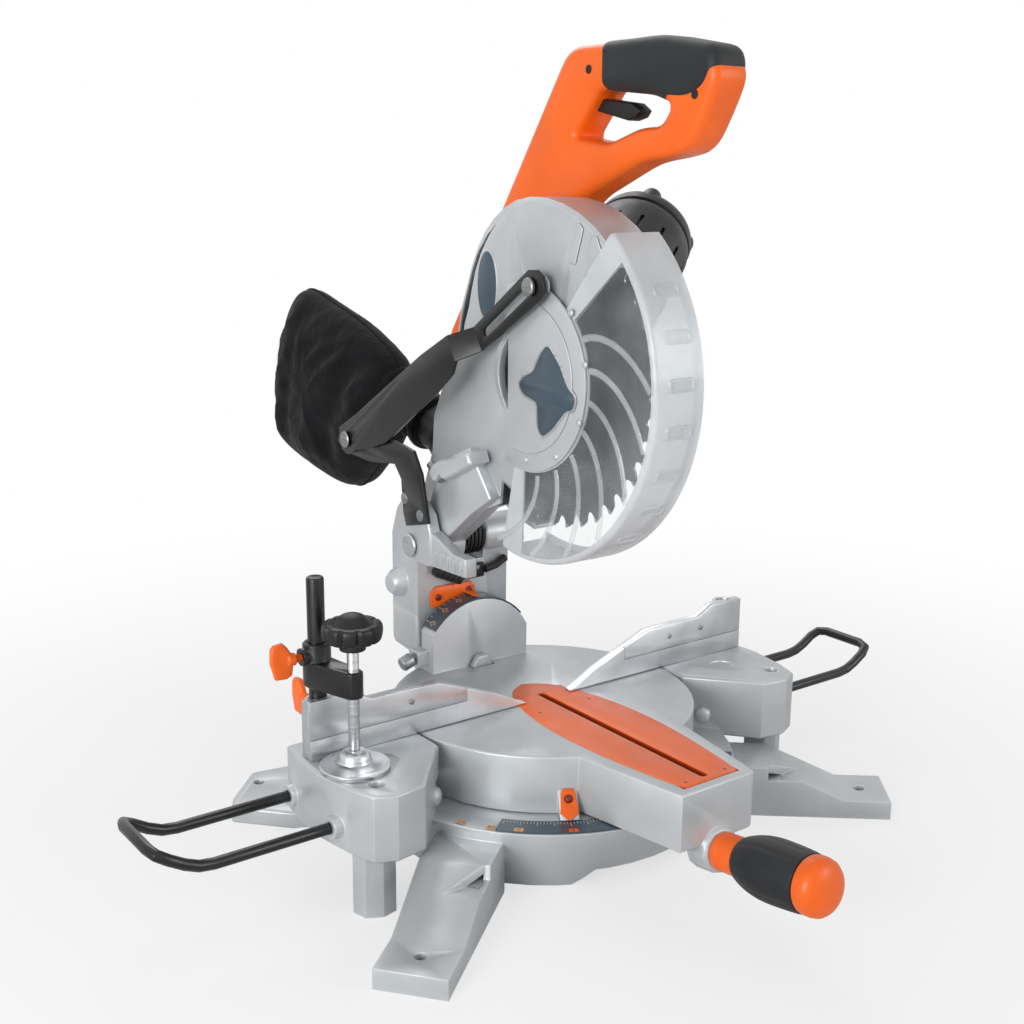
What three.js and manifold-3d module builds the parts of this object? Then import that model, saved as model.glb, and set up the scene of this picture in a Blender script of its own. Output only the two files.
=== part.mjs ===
// A compound mitre saw: base, turning table, tilting arm, chopping head and swinging guard.
// Millimetres. X is the operator's right, Y runs to the back and Z is up.
// The origin lies on the turning axis of the table, in the plane of the bench.
import * as THREE from "three";
import { mergeVertices } from "three/addons/utils/BufferGeometryUtils.js";
import Module from "manifold-3d";

const wasm = await Module();
wasm.setup();

// Clearances and walls shared by the castings.
const SEAT = 0.3;
const RUN = 0.5;
const WALL = 5;
const THIN_WALL = 3;
const ROUND = 2;
const EASE = 1;
const WELD = 1e-3;
const THROUGH = 1;
const FINE_STEP = 10;
const LEAST_SIDES = 12;
const MOST_SIDES = 44;
const HALF = 0.5;
const QUARTER_TURN = Math.PI / 2;
const FULL_TURN = Math.PI * 2;

// Main axes of the machine.
const TABLE_TOP = 105;
const BLADE = { y: -9, z: 388, radius: 127, thickness: 2.4, teeth: 40, rootShare: 0.955 };
const HINGE = { y: 132, z: 219 };
const TILT_AXIS_Z = TABLE_TOP;

// The fixed base: hub, bowl, side blocks and four feet.
const HUB = { radius: 24, top: 68, bore: 6, boreFoot: 38 };
const BOWL = { foot: 142, rim: 168, top: 56.6, ledge: 120 };
const SPOKE = { count: 6, reach: 141, width: 8, height: 12 };
const BLOCK = { x0: 133, x1: 237, y0: -95, y1: 32, bottom: 50, roof: 6 };
const BLOCK_SHARES = [
  [0, 0.64], [0, 0.46], [0.29, 0.2], [0.46, 0.03], [0.71, 0], [0.87, 0.06],
  [0.94, 0.23], [1, 0.52], [0.99, 0.81], [0.95, 1], [0.55, 1], [0, 0.84],
];
const LEG_SHARES = [[0.55, 0.26], [0.64, 0.13], [0.76, 0.11], [0.88, 0.16], [0.91, 0.26]];
const BLOCK_HOLE = { x: 211, y: -71, radius: 6.5 };
const BLOCK_DISH = { x: 183, y: -36, radius: 11.5, depth: 1.5 };
const FRONT_FOOT = { x: 146, y: -93, towardX: -0.773, towardY: -0.634, x0: 0, x1: 135, y0: 0, y1: 45, width: 55 };
const FRONT_FOOT_SHARES = [[-0.12, 0], [-0.12, 1], [0.22, 1], [0.7, 0.36], [1, 0.36], [1, 0]];
const FRONT_FOOT_HOLLOW_SHARES = [[-0.1, -0.1], [-0.1, 0.86], [0.2, 0.86], [0.66, 0.22], [0.95, 0.22], [0.95, -0.1]];
const FOOT_HOLE = { along: 111.8, radius: 5, bossRadius: 12, floor: 10 };
const REAR_FOOT = { x0: 85, x1: 239, y0: 52, y1: 180, thickness: 16, holeX: 198, holeY: 157 };
const REAR_FOOT_SHARES = [
  [0.76, 0.27], [1, 0.59], [0.94, 0.71], [0.71, 1], [0.46, 0.95], [0.03, 0.5], [0.26, 0],
];
const ARM_ARCH = { x0: -67, x1: 67, y0: -1, y1: 15, front: -200, back: -100 };
const ARM_ARCH_SHARES = [[0, 0], [0.11, 1], [0.89, 1], [1, 0]];
const ROD = { radius: 4.5, front: -50, back: 17, z: 69, inner: 175, bend: 345, outer: 377, lift: 19, turn: 12 };
const ROD_BOSS = { radius: 9, from: 196, to: 240, travelIn: 40 };
const SCALE = { inner: 146, outer: 166, thickness: 0.8, span: 50, steps: 20 };

// The table that turns, its arm and the parts fixed in it.
const TABLE = { radius: 131.65, bottom: 56.9, floor: 68.3, roof: 6, back: 121 };
const ARM = { x0: -56, x1: 56, y0: -218, y1: -60, bottom: 58.2 };
const ARM_PLAN_SHARES = [
  [0, 0.63], [0.16, 0], [0.8, 0], [0.835, 0.01], [0.85, 0.05], [1, 0.63], [1, 1], [0, 1],
];
const TROUGH = { left: -20, right: 28, outer: 34, front: -206, back: 11, wallFront: -213, wallBack: 16, floor: 3 };
const BOARD = { x0: -29, x1: 29, y0: -210, y1: 31, thickness: 5 };
const BOARD_SHARES = [
  [0, 0], [1, 0], [1, 0.62], [0.81, 0.78], [0.79, 0.84], [0.83, 0.92], [0.67, 0.98], [0.5, 1],
  [0.33, 0.98], [0.17, 0.92], [0.21, 0.84], [0.19, 0.78], [0, 0.62],
];
const KERF = { front: -204, back: 6, half: 3.5, under: 9 };
const PIVOT = { bossRadius: 22, bossTop: 76, shank: 6, head: 10, headHeight: 7.7, end: 40, sides: 6 };
const LOCK = { y: -224, z: 52, rise: 0.132, bossRadius: 18, bossDepth: 22, rod: 5, rodDepth: 50 };
const LOCK_COLLAR = { radius: 15, rim: 13.5, from: 0.3, to: 22 };
const LOCK_GRIP = { from: 22.3, to: 76, ends: 18, belly: 24, shareFront: 0.55 };
const LOCK_CAP = { from: 76.3, to: 109, radius: 21.5 };
const POINTER = { turn: -118.9, half: 7.5, foot: 146.2, head: 131.2, low: 58.2, high: 77, root: 126, thickness: 1.6 };
const POINTER_SHARES = [[0, 0.24], [0.5, 0], [1, 0.24], [0.86, 0.94], [0.78, 1], [0.22, 1], [0.14, 0.94]];
const POINTER_SCREW = { radius: 3.2, depth: 2, share: 0.68 };
const TURRET = { left: -50, right: 55, front: 97, back: 117, radius: 62, flange: 50 };
const TILT_SCALE = { thickness: 1.2, span: 50, steps: 20 };
const STOP_LUG = { left: -62, front: 104, back: 117, bottom: 112, top: 126 };
const STOP_KNOB = { x: -64.7, y: 110.5, z: 119, down: 0.37, radius: 6.5, length: 12, shank: 3, reach: 9 };

// The arm that tilts behind the table and carries the head's hinge.
const TILT = { front: 121.3, back: 165, hub: 34, x0: -52, x1: 50, y0: 105, y1: 200 };
const TILT_SHARES = [
  [0.176, 0], [0.02, 0.14], [0, 0.2], [0, 0.5], [0.06, 0.6], [0.06, 1], [1, 1], [1, 0.2],
  [0.96, 0.12], [0.843, 0],
];
const CHEEK = { left: -51.4, right: -40, x0: 100, x1: 165, y0: 150, y1: 262 };
const CHEEK_SHARES = [
  [0, 0], [0, 0.77], [0.09, 0.91], [0.28, 1], [0.68, 1], [0.86, 0.89], [1, 0.67], [1, 0],
];
const LUG = { left: -50, right: -37.5, x0: 47, x1: 104, y0: 206, y1: 237 };
const LUG_SHARES = [[0, 0.06], [0, 0.595], [0.35, 0.595], [0.93, 1], [1, 1], [1, 0]];
const LUG_RIB = { left: -52, count: 5, pitch: 10, width: 3, first: 51, bottom: 210, top: 222 };
const RIGHT_BOSS = { left: 21.3, right: 62, radius: 18, web: 50, webBack: 150, webFoot: 190 };
const BARREL = { left: -39.7, right: -5.3, radius: 22, cut: 23.5, cutLeft: -40 };
const PIN = { radius: 8, left: -51.4, right: 62, head: 11, headDepth: 3, spool: 12 };
const SPRING = { radius: 15.4, wire: 1.8, left: -4.6, pitch: 4.3, turns: 5, steps: 8, sides: 5, leg: 8 };
const DOME = { y: 150, z: 180, radius: 14, depth: 14 };
const TILT_POINTER = { x0: -38, x1: 10, y0: 160, y1: 179, thickness: 2.6, tipHalf: 3, tipFront: 101, tipDepth: 1.4 };
const TILT_POINTER_SHARES = [[0, 0], [1, 0], [1, 0.7], [0.9, 1], [0.1, 1], [0, 0.7]];
const CORD_CLAMP = { x0: -6, x1: 20, y0: 181, y1: 195, thickness: 4 };
const BOOT = { x: -8.8, z: 184, length: 30, radius: 5.6, ribs: 5, groove: 1, y: 115.2 };
const LEAD = { radius: 3.6, startX: 20.6, startZ: 188, bendX: 33, bendZ: 190, endX: 44, endZ: 196, y: 117.2 };
const LINK_BRACKET = { left: -54.7, right: -51.7, x0: 98, x1: 256, y0: 237, y1: 315 };
const LINK_BRACKET_SHARES = [
  [0, 0.12], [0.07, 0.67], [0.15, 0.91], [0.35, 0.97], [0.62, 0.9], [0.9, 0.97], [0.98, 0.9], [1, 0.75],
  [0.93, 0.65], [0.63, 0.62], [0.35, 0.69], [0.28, 0.54], [0.26, 0.15], [0.23, 0],
];
const BRACKET_BOLT_SHARES = [[0.25, 0.32], [0.089, 0.179]];
const BRACKET_BOLT = { radius: 5.5, depth: 1.8, shank: 2.7, reach: 7 };
const TILT_BOLT = { radius: 6, front: 90, back: 186, head: 11, sides: 6 };
const TILT_LEVER = { front: 168, back: 180, hub: 15, reach: 78, tip: 9, drop: -28, nut: 9, nutDepth: 5 };

// The fence: two castings with a screwed-on plate each.
const FENCE = { x0: 24, x1: 232, y0: TABLE_TOP, y1: 154, front: -9, back: 0, rebate: -6.2, step: 122, stepX: 86 };
const FENCE_SHARES = [
  [0, 0.02], [0.024, 0.051], [0.139, 0.306], [0.298, 0.571], [0.433, 0.796], [0.587, 0.816],
  [0.736, 0.816], [0.822, 1], [1, 1], [1, 0.006], [0.54, 0.006], [0.54, 0.02],
];
const FENCE_FLANGE = { from: 142, to: 196, back: 26, height: 6 };
const FENCE_BOSS = { radius: 11, top: 152, back: 5, from: 204 };

// The hold-down clamp on the left of the fence.
const POST = { x: -219.3, y: 1.7, radius: 6.9, bottom: 72, top: 250, bossFoot: 54 };
const CLAMP = { x: -210, y: -37.5, rod: 4.5, rodTop: 201, bottom: 163, top: 184, hubTop: 198, hub: 11, eye: 7.6, boss: 7 };
const PAD = { radius: 27.2, bottom: 105.3, top: 121, rim: 109, shoulder: 115, shoulderShare: 0.85, crown: 9 };
const KNOB = { radius: 23, bottom: 207, top: 230, lobes: 8, dipShare: 0.9, neck: 10, foot: 201.3 };
const WING = { postZ: 144, armZ: 188, shank: 3.2, start: 7.4, root: 21, reach: 39.5, half: 14.5, thickness: 5 };
const WING_SHARES = [
  [0, 0.35], [0.06, 0.08], [0.3, 0], [0.8, 0.02], [1, 0.5], [0.98, 0.86], [0.85, 0.97], [0.45, 1],
  [0.25, 0.86], [0.02, 0.62],
];

// The head: guard casting, gear housing, motor and handle.
const GUARD = { left: -24.8, right: 20, inner: 130, wall: 3, hub: 44, hubRim: 58, full: 60, from: 42, to: 262, steps: 26 };
const GUARD_FRONT = { radius: 142, shoulder: 139, shoulderX: -22, until: 96 };
const GUARD_REAR = { radius: 136, shoulder: 98, shoulderX: -4, since: 150 };
const SHAFT_HOLE = 14;
const NECK = { x0: 18, x1: 155, y0: 219, y1: 452, left: -24.8, right: -5.3 };
const NECK_SHARES = [
  [0.307, 0.9], [0.438, 0.82], [0.7, 0.66], [0.84, 0.5], [0.86, 0.36], [0.97, 0.2], [1, 0.056],
  [0.672, 0.013], [0.307, 0.185], [0.1, 0.236], [0.06, 0.433],
];
const WEB = { left: -36, right: -20, x0: 18, x1: 140, y0: 219, y1: 320 };
const WEB_SHARES = [[0.72, 0.8], [0.36, 0.99], [0.1, 0.6], [0.34, 0.41], [0.77, 0], [0.95, 0.2]];
const EAR = { left: -50, right: -28, x0: 40, x1: 105, y0: 284, y1: 320 };
const EAR_SHARES = [
  [0.07, 0.98], [0.33, 0.8], [0.75, 0.59], [0.9, 0.45], [1, 0.23], [0.97, 0.08], [0.89, 0], [0.59, 0.16],
  [0.3, 0.42], [0, 0.72],
];
const STOP_SCREW = { x: -43, y: 93, z: 285, toY: 0.848, toZ: 0.53, radius: 3.8, length: 23 };
const GUARD_PATH = { from: -104, to: 186, inner: 49, wallIn: 150, wallOut: 156.5, left: -28.4, lip: 16.4, lipInner: 145, steps: 30 };
const DUCT = { y: 100, z: 299.5, rise: 0.286, radius: 20, bore: 17, from: -14, to: 37.5 };
const PORT = { radius: 22, bore: 18.5, from: 37.8, to: 82, band: 24 };
const BAG = { x0: 216, x1: 453, y0: 235, y1: 427, half: 44, layers: 4, squareness: 3 };
const BAG_SHARES = [
  [0.02, 0.56], [0.09, 0.72], [0.33, 0.86], [0.6, 0.95], [0.8, 1], [0.92, 0.9], [0.98, 0.7], [1, 0.4],
  [0.99, 0.17], [0.88, 0.08], [0.65, 0.03], [0.4, 0], [0.26, 0.11], [0.13, 0.27], [0.02, 0.4],
];
const GEAR = { left: 20.3, right: 60, radius: 50, bore: 12.9, collar: 44, collarFrom: 6, collarTo: 40 };
const MOTOR = { x: 30, y: 0, z: 405, towardX: 0.766, towardY: 0.413, towardZ: 0.492, radius: 48 };
const MOTOR_BODY = { from: 40.3, to: 168, ease: 5 };
const MOTOR_CAP = { from: 168.3, to: 186, radius: 46, bumps: 4, bump: 9, bumpRise: 5, bumpAtShare: 0.8 };
const HANDLE = { left: 20.6, right: 56, x0: -162, x1: 185, y0: 385, y1: 646, ease: 5 };
const HANDLE_SHARES = [
  [0.38, 1], [0.173, 0.992], [0.029, 0.958], [0, 0.893], [0.023, 0.82], [0.081, 0.69], [0.161, 0.67],
  [0.207, 0.663], [0.256, 0.651], [0.447, 0.544], [0.597, 0.326], [0.712, 0.153], [0.841, 0],
  [1, 0.038], [0.493, 1],
];
const HANDLE_OPENING_SHARES = [
  [0.403, 0.828], [0.467, 0.732], [0.349, 0.713], [0.245, 0.755], [0.173, 0.759], [0.141, 0.816],
  [0.207, 0.847], [0.38, 0.868],
];
const GRIP = { left: 19.9, right: 56.7, ease: 6 };
const GRIP_SHARES = [
  [0.38, 1.006], [0.277, 1.006], [0.222, 1.008], [0.173, 1.006], [0.02, 0.969], [0.005, 0.908],
  [0.03, 0.843], [0.085, 0.815], [0.145, 0.818], [0.207, 0.845], [0.38, 0.867],
];
const TRIGGER = { left: 32, right: 46, slot: 0.6, x0: -68, x1: -12, y0: 588, y1: 606 };
const TRIGGER_SHARES = [[1, 1], [1, 0.5], [0.25, 0], [0.08, 0.12], [0, 0.4], [0.16, 0.72], [0.75, 0.95]];
const TRIGGER_SLOT = { x0: -30, x1: -9, y0: 592, y1: 610 };

// The blade, its arbor and the swinging guard.
const SHAFT = { radius: 12.4, right: 58, bore: 12.7, boltBore: 5.3, boltReach: 12 };
const FLANGE = { radius: 30, inner: 8, outer: -8 };
const ARBOR_BOLT = { head: 11, left: -15.6, shank: 5, sides: 6 };
const COVER = { left: -27.8, wall: 2.6, inner: 50, outer: 154.2, rim: 2.6, right: 19.6, lip: 2.2, lipInner: 146 };
const COVER_SPAN = { from: -102, to: 50, steps: 26 };
const PLATE = { left: -30.4, right: -28.1, radius: 77, flat: 26, spigot: 43.5, spigotBore: 38, spigotRight: -22.3 };
const STUD = { y: -29, z: 462, radius: 4.5, lobe: 9, left: -35.4 };
const RIVET = { y: 234, z: 301, radius: 8, shank: 4, left: -61.5, bore: 4.3 };
const LINK = { left: -58.5, right: -55.5, frontLeft: -40.3, frontRight: -37.3 };
const LINK_BAR = { x0: -12, x1: 325, y0: -30, y1: 15 };
const LINK_REAR_SHARES = [
  [0, 0.8], [0.018, 1], [0.125, 0.956], [0.516, 0.933], [0.65, 0.858], [0.65, 0.333], [0.62, 0.178], [0.528, 0.089],
  [0.228, 0], [0.125, 0.178], [0.064, 0.329], [0.018, 0.378], [0, 0.556],
];
const LINK_FRONT_SHARES = [
  [0.694, 0.844], [0.926, 0.944], [0.961, 0.956], [0.988, 0.844], [1, 0.667], [0.991, 0.422],
  [0.961, 0.356], [0.926, 0.356], [0.694, 0.356],
];
const LINK_REAR_END = { low: 5, high: 4 };
const LINK_FRONT_END = { low: 8, high: 0 };
const LINK_PIN = { radius: 3.6, head: 7.5, left: -45, headRight: -40.8, right: -35.7, slotHalf: 4.1 };
const SLOT_END = { y: 31.5, z: 421.2 };
const BOLT_POCKET = { half: 12.5, front: 88, bottom: 93 };
// The lower guard's link, the pointer and the lock boss sweep through these rooms.
const POINTER_ROOM = { radius: 151, top: 79, x0: -158, x1: -100, y0: -92, y1: -26 };
const LOCK_ROOM = { inner: 198.5, outer: 231, bottom: 33, y1: -128 };
const CHOP = 55;
const HEAD_PIN = { y: 139, z: 207, knob: 8, from: 62.3, to: 78, shank: 4 };

const root = new THREE.Group();

// Sets each corner of a plan into space: across x the plan is (y, z), across y it is (x, z).
const PLACE = {
  x: (u, v, w) => [w, u, v],
  y: (u, v, w) => [u, w, v],
  z: (u, v, w) => [u, v, w],
};

function turnedOutward(points, corners) {
  const [a, b, c] = [new THREE.Vector3(), new THREE.Vector3(), new THREE.Vector3()];
  let volume = 0;
  for (let i = 0; i < corners.length; i += 3) {
    a.fromArray(points, 3 * corners[i]);
    b.fromArray(points, 3 * corners[i + 1]);
    c.fromArray(points, 3 * corners[i + 2]);
    volume += a.dot(b.cross(c));
  }
  if (volume > 0) return corners;
  const turned = corners.slice();
  for (let i = 0; i < turned.length; i += 3) [turned[i], turned[i + 1]] = [turned[i + 1], turned[i]];
  return turned;
}

// One closed solid from a closed surface; faces that shrank to a line are dropped.
function solid(geometry, frame) {
  const surface = new THREE.BufferGeometry();
  surface.setAttribute("position", geometry.getAttribute("position"));
  surface.setIndex(geometry.index);
  if (frame) surface.applyMatrix4(frame);
  const merged = mergeVertices(surface, WELD);
  const corners = [];
  for (let i = 0; i < merged.index.count; i += 3) {
    const [a, b, c] = [merged.index.getX(i), merged.index.getX(i + 1), merged.index.getX(i + 2)];
    if (a !== b && b !== c && c !== a) corners.push(a, b, c);
  }
  const points = merged.getAttribute("position").array;
  const triVerts = Uint32Array.from(turnedOutward(points, corners));
  return new wasm.Manifold(new wasm.Mesh({ numProp: 3, vertProperties: points, triVerts }));
}

const join = (first, ...others) => others.reduce((sum, next) => sum.add(next), first);
const cut = (first, ...others) => others.reduce((rest, next) => rest.subtract(next), first);

// A plan pushed along an axis, with its end edges eased where an ease is given.
function prism(axis, plan, from, to, ease = 0, frame = null) {
  const shape = new THREE.Shape(plan.map(([u, v]) => new THREE.Vector2(u, v)));
  const geometry = new THREE.ExtrudeGeometry(shape, {
    depth: to - from - 2 * ease,
    bevelEnabled: ease > 0,
    bevelThickness: ease,
    bevelSize: ease,
    bevelOffset: -ease,
    bevelSegments: 1,
    steps: 1,
  });
  const points = geometry.getAttribute("position");
  for (let i = 0; i < points.count; i++) {
    const placed = PLACE[axis](points.getX(i), points.getY(i), points.getZ(i) + from + ease);
    points.setXYZ(i, ...placed);
  }
  return solid(geometry, frame);
}

function sidesFor(radius) {
  const wanted = Math.ceil((FULL_TURN * radius) / FINE_STEP);
  return Math.min(MOST_SIDES, Math.max(LEAST_SIDES, wanted));
}

function circle(u, v, radius, sides = sidesFor(radius)) {
  return Array.from({ length: sides }, (_, i) => {
    const turn = (i * FULL_TURN) / sides;
    return [u + radius * Math.cos(turn), v + radius * Math.sin(turn)];
  });
}

const disc = (axis, [u, v], radius, from, to, ease = 0, frame = null) =>
  prism(axis, circle(u, v, radius), from, to, ease, frame);

const block = ([x0, x1], [y0, y1], [z0, z1], ease = 0) =>
  prism("z", [[x0, y0], [x1, y0], [x1, y1], [x0, y1]], z0, z1, ease);

// A plan from shares of its box.
const spread = (shares, { x0, x1, y0, y1 }) =>
  shares.map(([u, v]) => [x0 + u * (x1 - x0), y0 + v * (y1 - y0)]);

const mirrored = (plan) => plan.map(([u, v]) => [-u, v]).reverse();

// The same plan with every side moved inward.
function inset(plan, distance) {
  const turns = THREE.ShapeUtils.area(plan.map(([x, y]) => new THREE.Vector2(x, y))) > 0 ? 1 : -1;
  return plan.map(([x, y], i) => {
    const [px, py] = plan[(i + plan.length - 1) % plan.length];
    const [nx, ny] = plan[(i + 1) % plan.length];
    const before = new THREE.Vector2(x - px, y - py).normalize();
    const after = new THREE.Vector2(nx - x, ny - y).normalize();
    const middle = new THREE.Vector2(-before.y - after.y, before.x + after.x).normalize();
    const stretch = distance / Math.max(HALF, middle.x * -before.y + middle.y * before.x);
    return [x + turns * middle.x * stretch, y + turns * middle.y * stretch];
  });
}

// A surface through rings of points, closed by a cap at each end or joined into a loop.
function skin(rings, looped = false, frame = null) {
  const count = rings[0].length;
  const corners = [];
  const spans = looped ? rings.length : rings.length - 1;
  for (let i = 0; i < spans; i++) {
    const next = ((i + 1) % rings.length) * count;
    for (let j = 0; j < count; j++) {
      const beside = (j + 1) % count;
      corners.push(i * count + j, i * count + beside, next + beside);
      corners.push(i * count + j, next + beside, next + j);
    }
  }
  if (!looped) {
    for (const [a, b, c] of capOf(rings[0])) corners.push(a, c, b);
    const start = (rings.length - 1) * count;
    for (const [a, b, c] of capOf(rings[rings.length - 1])) corners.push(start + a, start + b, start + c);
  }
  const geometry = new THREE.BufferGeometry();
  geometry.setAttribute("position", new THREE.Float32BufferAttribute(rings.flat(2), 3));
  geometry.setIndex(corners);
  return solid(geometry, frame);
}

// Triangles that fill a flat ring, all turned the way the ring runs.
function capOf(ring) {
  const points = ring.map((point) => new THREE.Vector3(...point));
  const normal = new THREE.Vector3();
  points.forEach((point, i) => normal.add(point.clone().cross(points[(i + 1) % points.length])));
  if (normal.length() < WELD) return [];
  normal.normalize();
  const along = points[0].clone().sub(points[1]).cross(normal).normalize();
  const across = normal.clone().cross(along);
  const flat = points.map((point) => new THREE.Vector2(point.dot(along), point.dot(across)));
  return THREE.ShapeUtils.triangulateShape(flat, []).map(([a, b, c]) => {
    const turn = flat[b].clone().sub(flat[a]).cross(flat[c].clone().sub(flat[a]));
    return turn > 0 ? [a, b, c] : [a, c, b];
  });
}

// A profile of [radius, distance] points turned about an axis through a centre.
function turned(axis, [u, v], profile, frame = null, looped = false) {
  const sides = sidesFor(Math.max(...profile.map(([radius]) => radius)));
  const rings = profile.map(([radius, along]) =>
    circle(u, v, radius, sides).map(([a, b]) => PLACE[axis](a, b, along)),
  );
  return skin(rings, looped, frame);
}

// A frame whose Z runs along a direction from a point.
function frameAlong(origin, direction) {
  const turn = new THREE.Quaternion();
  turn.setFromUnitVectors(new THREE.Vector3(0, 0, 1), new THREE.Vector3(...direction).normalize());
  return new THREE.Matrix4().compose(new THREE.Vector3(...origin), turn, new THREE.Vector3(1, 1, 1));
}

// A round bar through a list of points.
function bar(path, radius, sides) {
  const points = path.map((point) => new THREE.Vector3(...point));
  const ways = points.map((point, i) => {
    const from = points[Math.max(0, i - 1)];
    const to = points[Math.min(points.length - 1, i + 1)];
    return to.clone().sub(from).normalize();
  });
  const side = new THREE.Vector3(ways[0].y, ways[0].z, ways[0].x).cross(ways[0]).normalize();
  const rings = points.map((point, i) => {
    side.sub(ways[i].clone().multiplyScalar(side.dot(ways[i]))).normalize();
    const other = ways[i].clone().cross(side);
    return circle(0, 0, radius, sides).map(([a, b]) =>
      point.clone().addScaledVector(side, a).addScaledVector(other, b).toArray(),
    );
  });
  return skin(rings);
}

// A path whose inner corners are rounded with three points each.
function softened(path, radius) {
  return path.flatMap((point, i) => {
    if (i === 0 || i === path.length - 1) return [point];
    const corner = new THREE.Vector3(...point);
    const before = new THREE.Vector3(...path[i - 1]).sub(corner).setLength(radius);
    const after = new THREE.Vector3(...path[i + 1]).sub(corner).setLength(radius);
    const start = corner.clone().add(before);
    const end = corner.clone().add(after);
    const middle = start.clone().add(end).add(corner.clone().multiplyScalar(2)).divideScalar(4);
    return [start.toArray(), middle.toArray(), end.toArray()];
  });
}

// A point of the blade's plane, by radius and by angle from the front over the top.
function aroundBlade(radius, degrees) {
  const turn = THREE.MathUtils.degToRad(degrees);
  return [BLADE.y - radius * Math.cos(turn), BLADE.z + radius * Math.sin(turn)];
}

// A section of [radius, x] points carried round the blade's axis.
function roundBlade(sectionAt, from, to, steps) {
  const rings = [];
  for (let i = 0; i <= steps; i++) {
    const degrees = from + ((to - from) * i) / steps;
    const ring = sectionAt(degrees).map(([radius, x]) => {
      const [y, z] = aroundBlade(radius, degrees);
      return [x, y, z];
    });
    rings.push(ring);
  }
  return skin(rings);
}

function piece(name, body, colour, roughness, metalness) {
  const mesh = body.getMesh();
  const geometry = new THREE.BufferGeometry();
  geometry.setAttribute("position", new THREE.BufferAttribute(mesh.vertProperties, mesh.numProp));
  geometry.setIndex(new THREE.BufferAttribute(mesh.triVerts, 1));
  const material = new THREE.MeshStandardMaterial({ color: colour, roughness, metalness });
  const node = new THREE.Mesh(geometry, material);
  node.name = name;
  root.add(node);
}

const COLOURS = {
  casting: 0xc3c6c8,
  steel: 0xb9bcc0,
  orange: 0xf5731e,
  black: 0x26272a,
  rubber: 0x1d1e20,
  bolt: 0x55585c,
  clear: 0xdfe6ea,
  scale: 0x425561,
};
const casting = (name, body) => piece(name, body, COLOURS.casting, 0.45, 0.6);
const steel = (name, body) => piece(name, body, COLOURS.steel, 0.3, 0.9);
const orange = (name, body) => piece(name, body, COLOURS.orange, 0.45, 0);
const black = (name, body) => piece(name, body, COLOURS.black, 0.6, 0);
const rubber = (name, body) => piece(name, body, COLOURS.rubber, 0.9, 0);
const bolt = (name, body) => piece(name, body, COLOURS.bolt, 0.4, 0.8);

const SIDES = [-1, 1];
const onSide = (plan, side) => (side < 0 ? mirrored(plan) : plan);
const range = (side, a, b) => (side < 0 ? [-b, -a] : [a, b]);

function bowl() {
  const under = BOWL.top - WALL;
  const profile = [
    [BOWL.foot, 0], [BOWL.rim, BOWL.top], [BOWL.ledge, BOWL.top], [BOWL.ledge, under],
    [BOWL.rim - WALL, under], [BOWL.foot - WALL, 0],
  ];
  return turned("z", [0, 0], profile, null, true);
}

function spokes() {
  return Array.from({ length: SPOKE.count }, (_, i) => {
    const turn = new THREE.Matrix4().makeRotationZ((i * FULL_TURN) / SPOKE.count);
    const half = SPOKE.width * HALF;
    const plan = [[0, -half], [SPOKE.reach, -half], [SPOKE.reach, half], [0, half]];
    return prism("z", plan, 0, SPOKE.height, 0, turn);
  });
}

// The raised side of the base that carries the fence, open from below.
function sideBlock(side) {
  const plan = onSide(spread(BLOCK_SHARES, BLOCK), side);
  const shell = cut(
    prism("z", plan, BLOCK.bottom, TABLE_TOP, ROUND),
    prism("z", inset(plan, WALL), BLOCK.bottom - THROUGH, TABLE_TOP - BLOCK.roof),
  );
  const leg = prism("z", onSide(spread(LEG_SHARES, BLOCK), side), 0, TABLE_TOP - BLOCK.roof);
  const guides = [ROD.front, ROD.back].map((y) =>
    disc("x", [y, ROD.z], ROD_BOSS.radius, ...range(side, ROD_BOSS.from, ROD_BOSS.to)),
  );
  const socket = disc("z", [side * -POST.x, POST.y], POST.radius + WALL, POST.bossFoot, TABLE_TOP - BLOCK.roof);
  return join(shell, leg, socket, ...guides);
}

function sideBlockCuts(side) {
  const bores = [ROD.front, ROD.back].map((y) =>
    disc("x", [y, ROD.z], ROD.radius + SEAT, ...range(side, ROD.inner - ROD_BOSS.travelIn, ROD_BOSS.to + THROUGH)),
  );
  const top = TABLE_TOP + THROUGH;
  const post = disc("z", [side * -POST.x, POST.y], POST.radius + SEAT, POST.bottom - SEAT, top);
  const hole = disc("z", [side * BLOCK_HOLE.x, BLOCK_HOLE.y], BLOCK_HOLE.radius, BLOCK.bottom, top);
  const dish = disc("z", [side * BLOCK_DISH.x, BLOCK_DISH.y], BLOCK_DISH.radius, TABLE_TOP - BLOCK_DISH.depth, top);
  return [post, hole, dish, ...bores];
}

function footFrame(side) {
  const turn = Math.atan2(FRONT_FOOT.towardY, -side * FRONT_FOOT.towardX);
  return new THREE.Matrix4().makeRotationZ(turn).setPosition(side * FRONT_FOOT.x, FRONT_FOOT.y, 0);
}

function frontFoot(side) {
  const frame = footFrame(side);
  const half = FRONT_FOOT.width * HALF;
  const inner = half - WALL;
  const outside = prism("y", spread(FRONT_FOOT_SHARES, FRONT_FOOT), -half, half, 0, frame);
  const hollow = prism("y", spread(FRONT_FOOT_HOLLOW_SHARES, FRONT_FOOT), -inner, inner, 0, frame);
  const boss = disc("z", [FOOT_HOLE.along, 0], FOOT_HOLE.bossRadius, 0, FOOT_HOLE.floor, 0, frame);
  return join(cut(outside, hollow), boss);
}

function frontFootHole(side) {
  return disc("z", [FOOT_HOLE.along, 0], FOOT_HOLE.radius, -THROUGH, FRONT_FOOT.y1, 0, footFrame(side));
}

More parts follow.
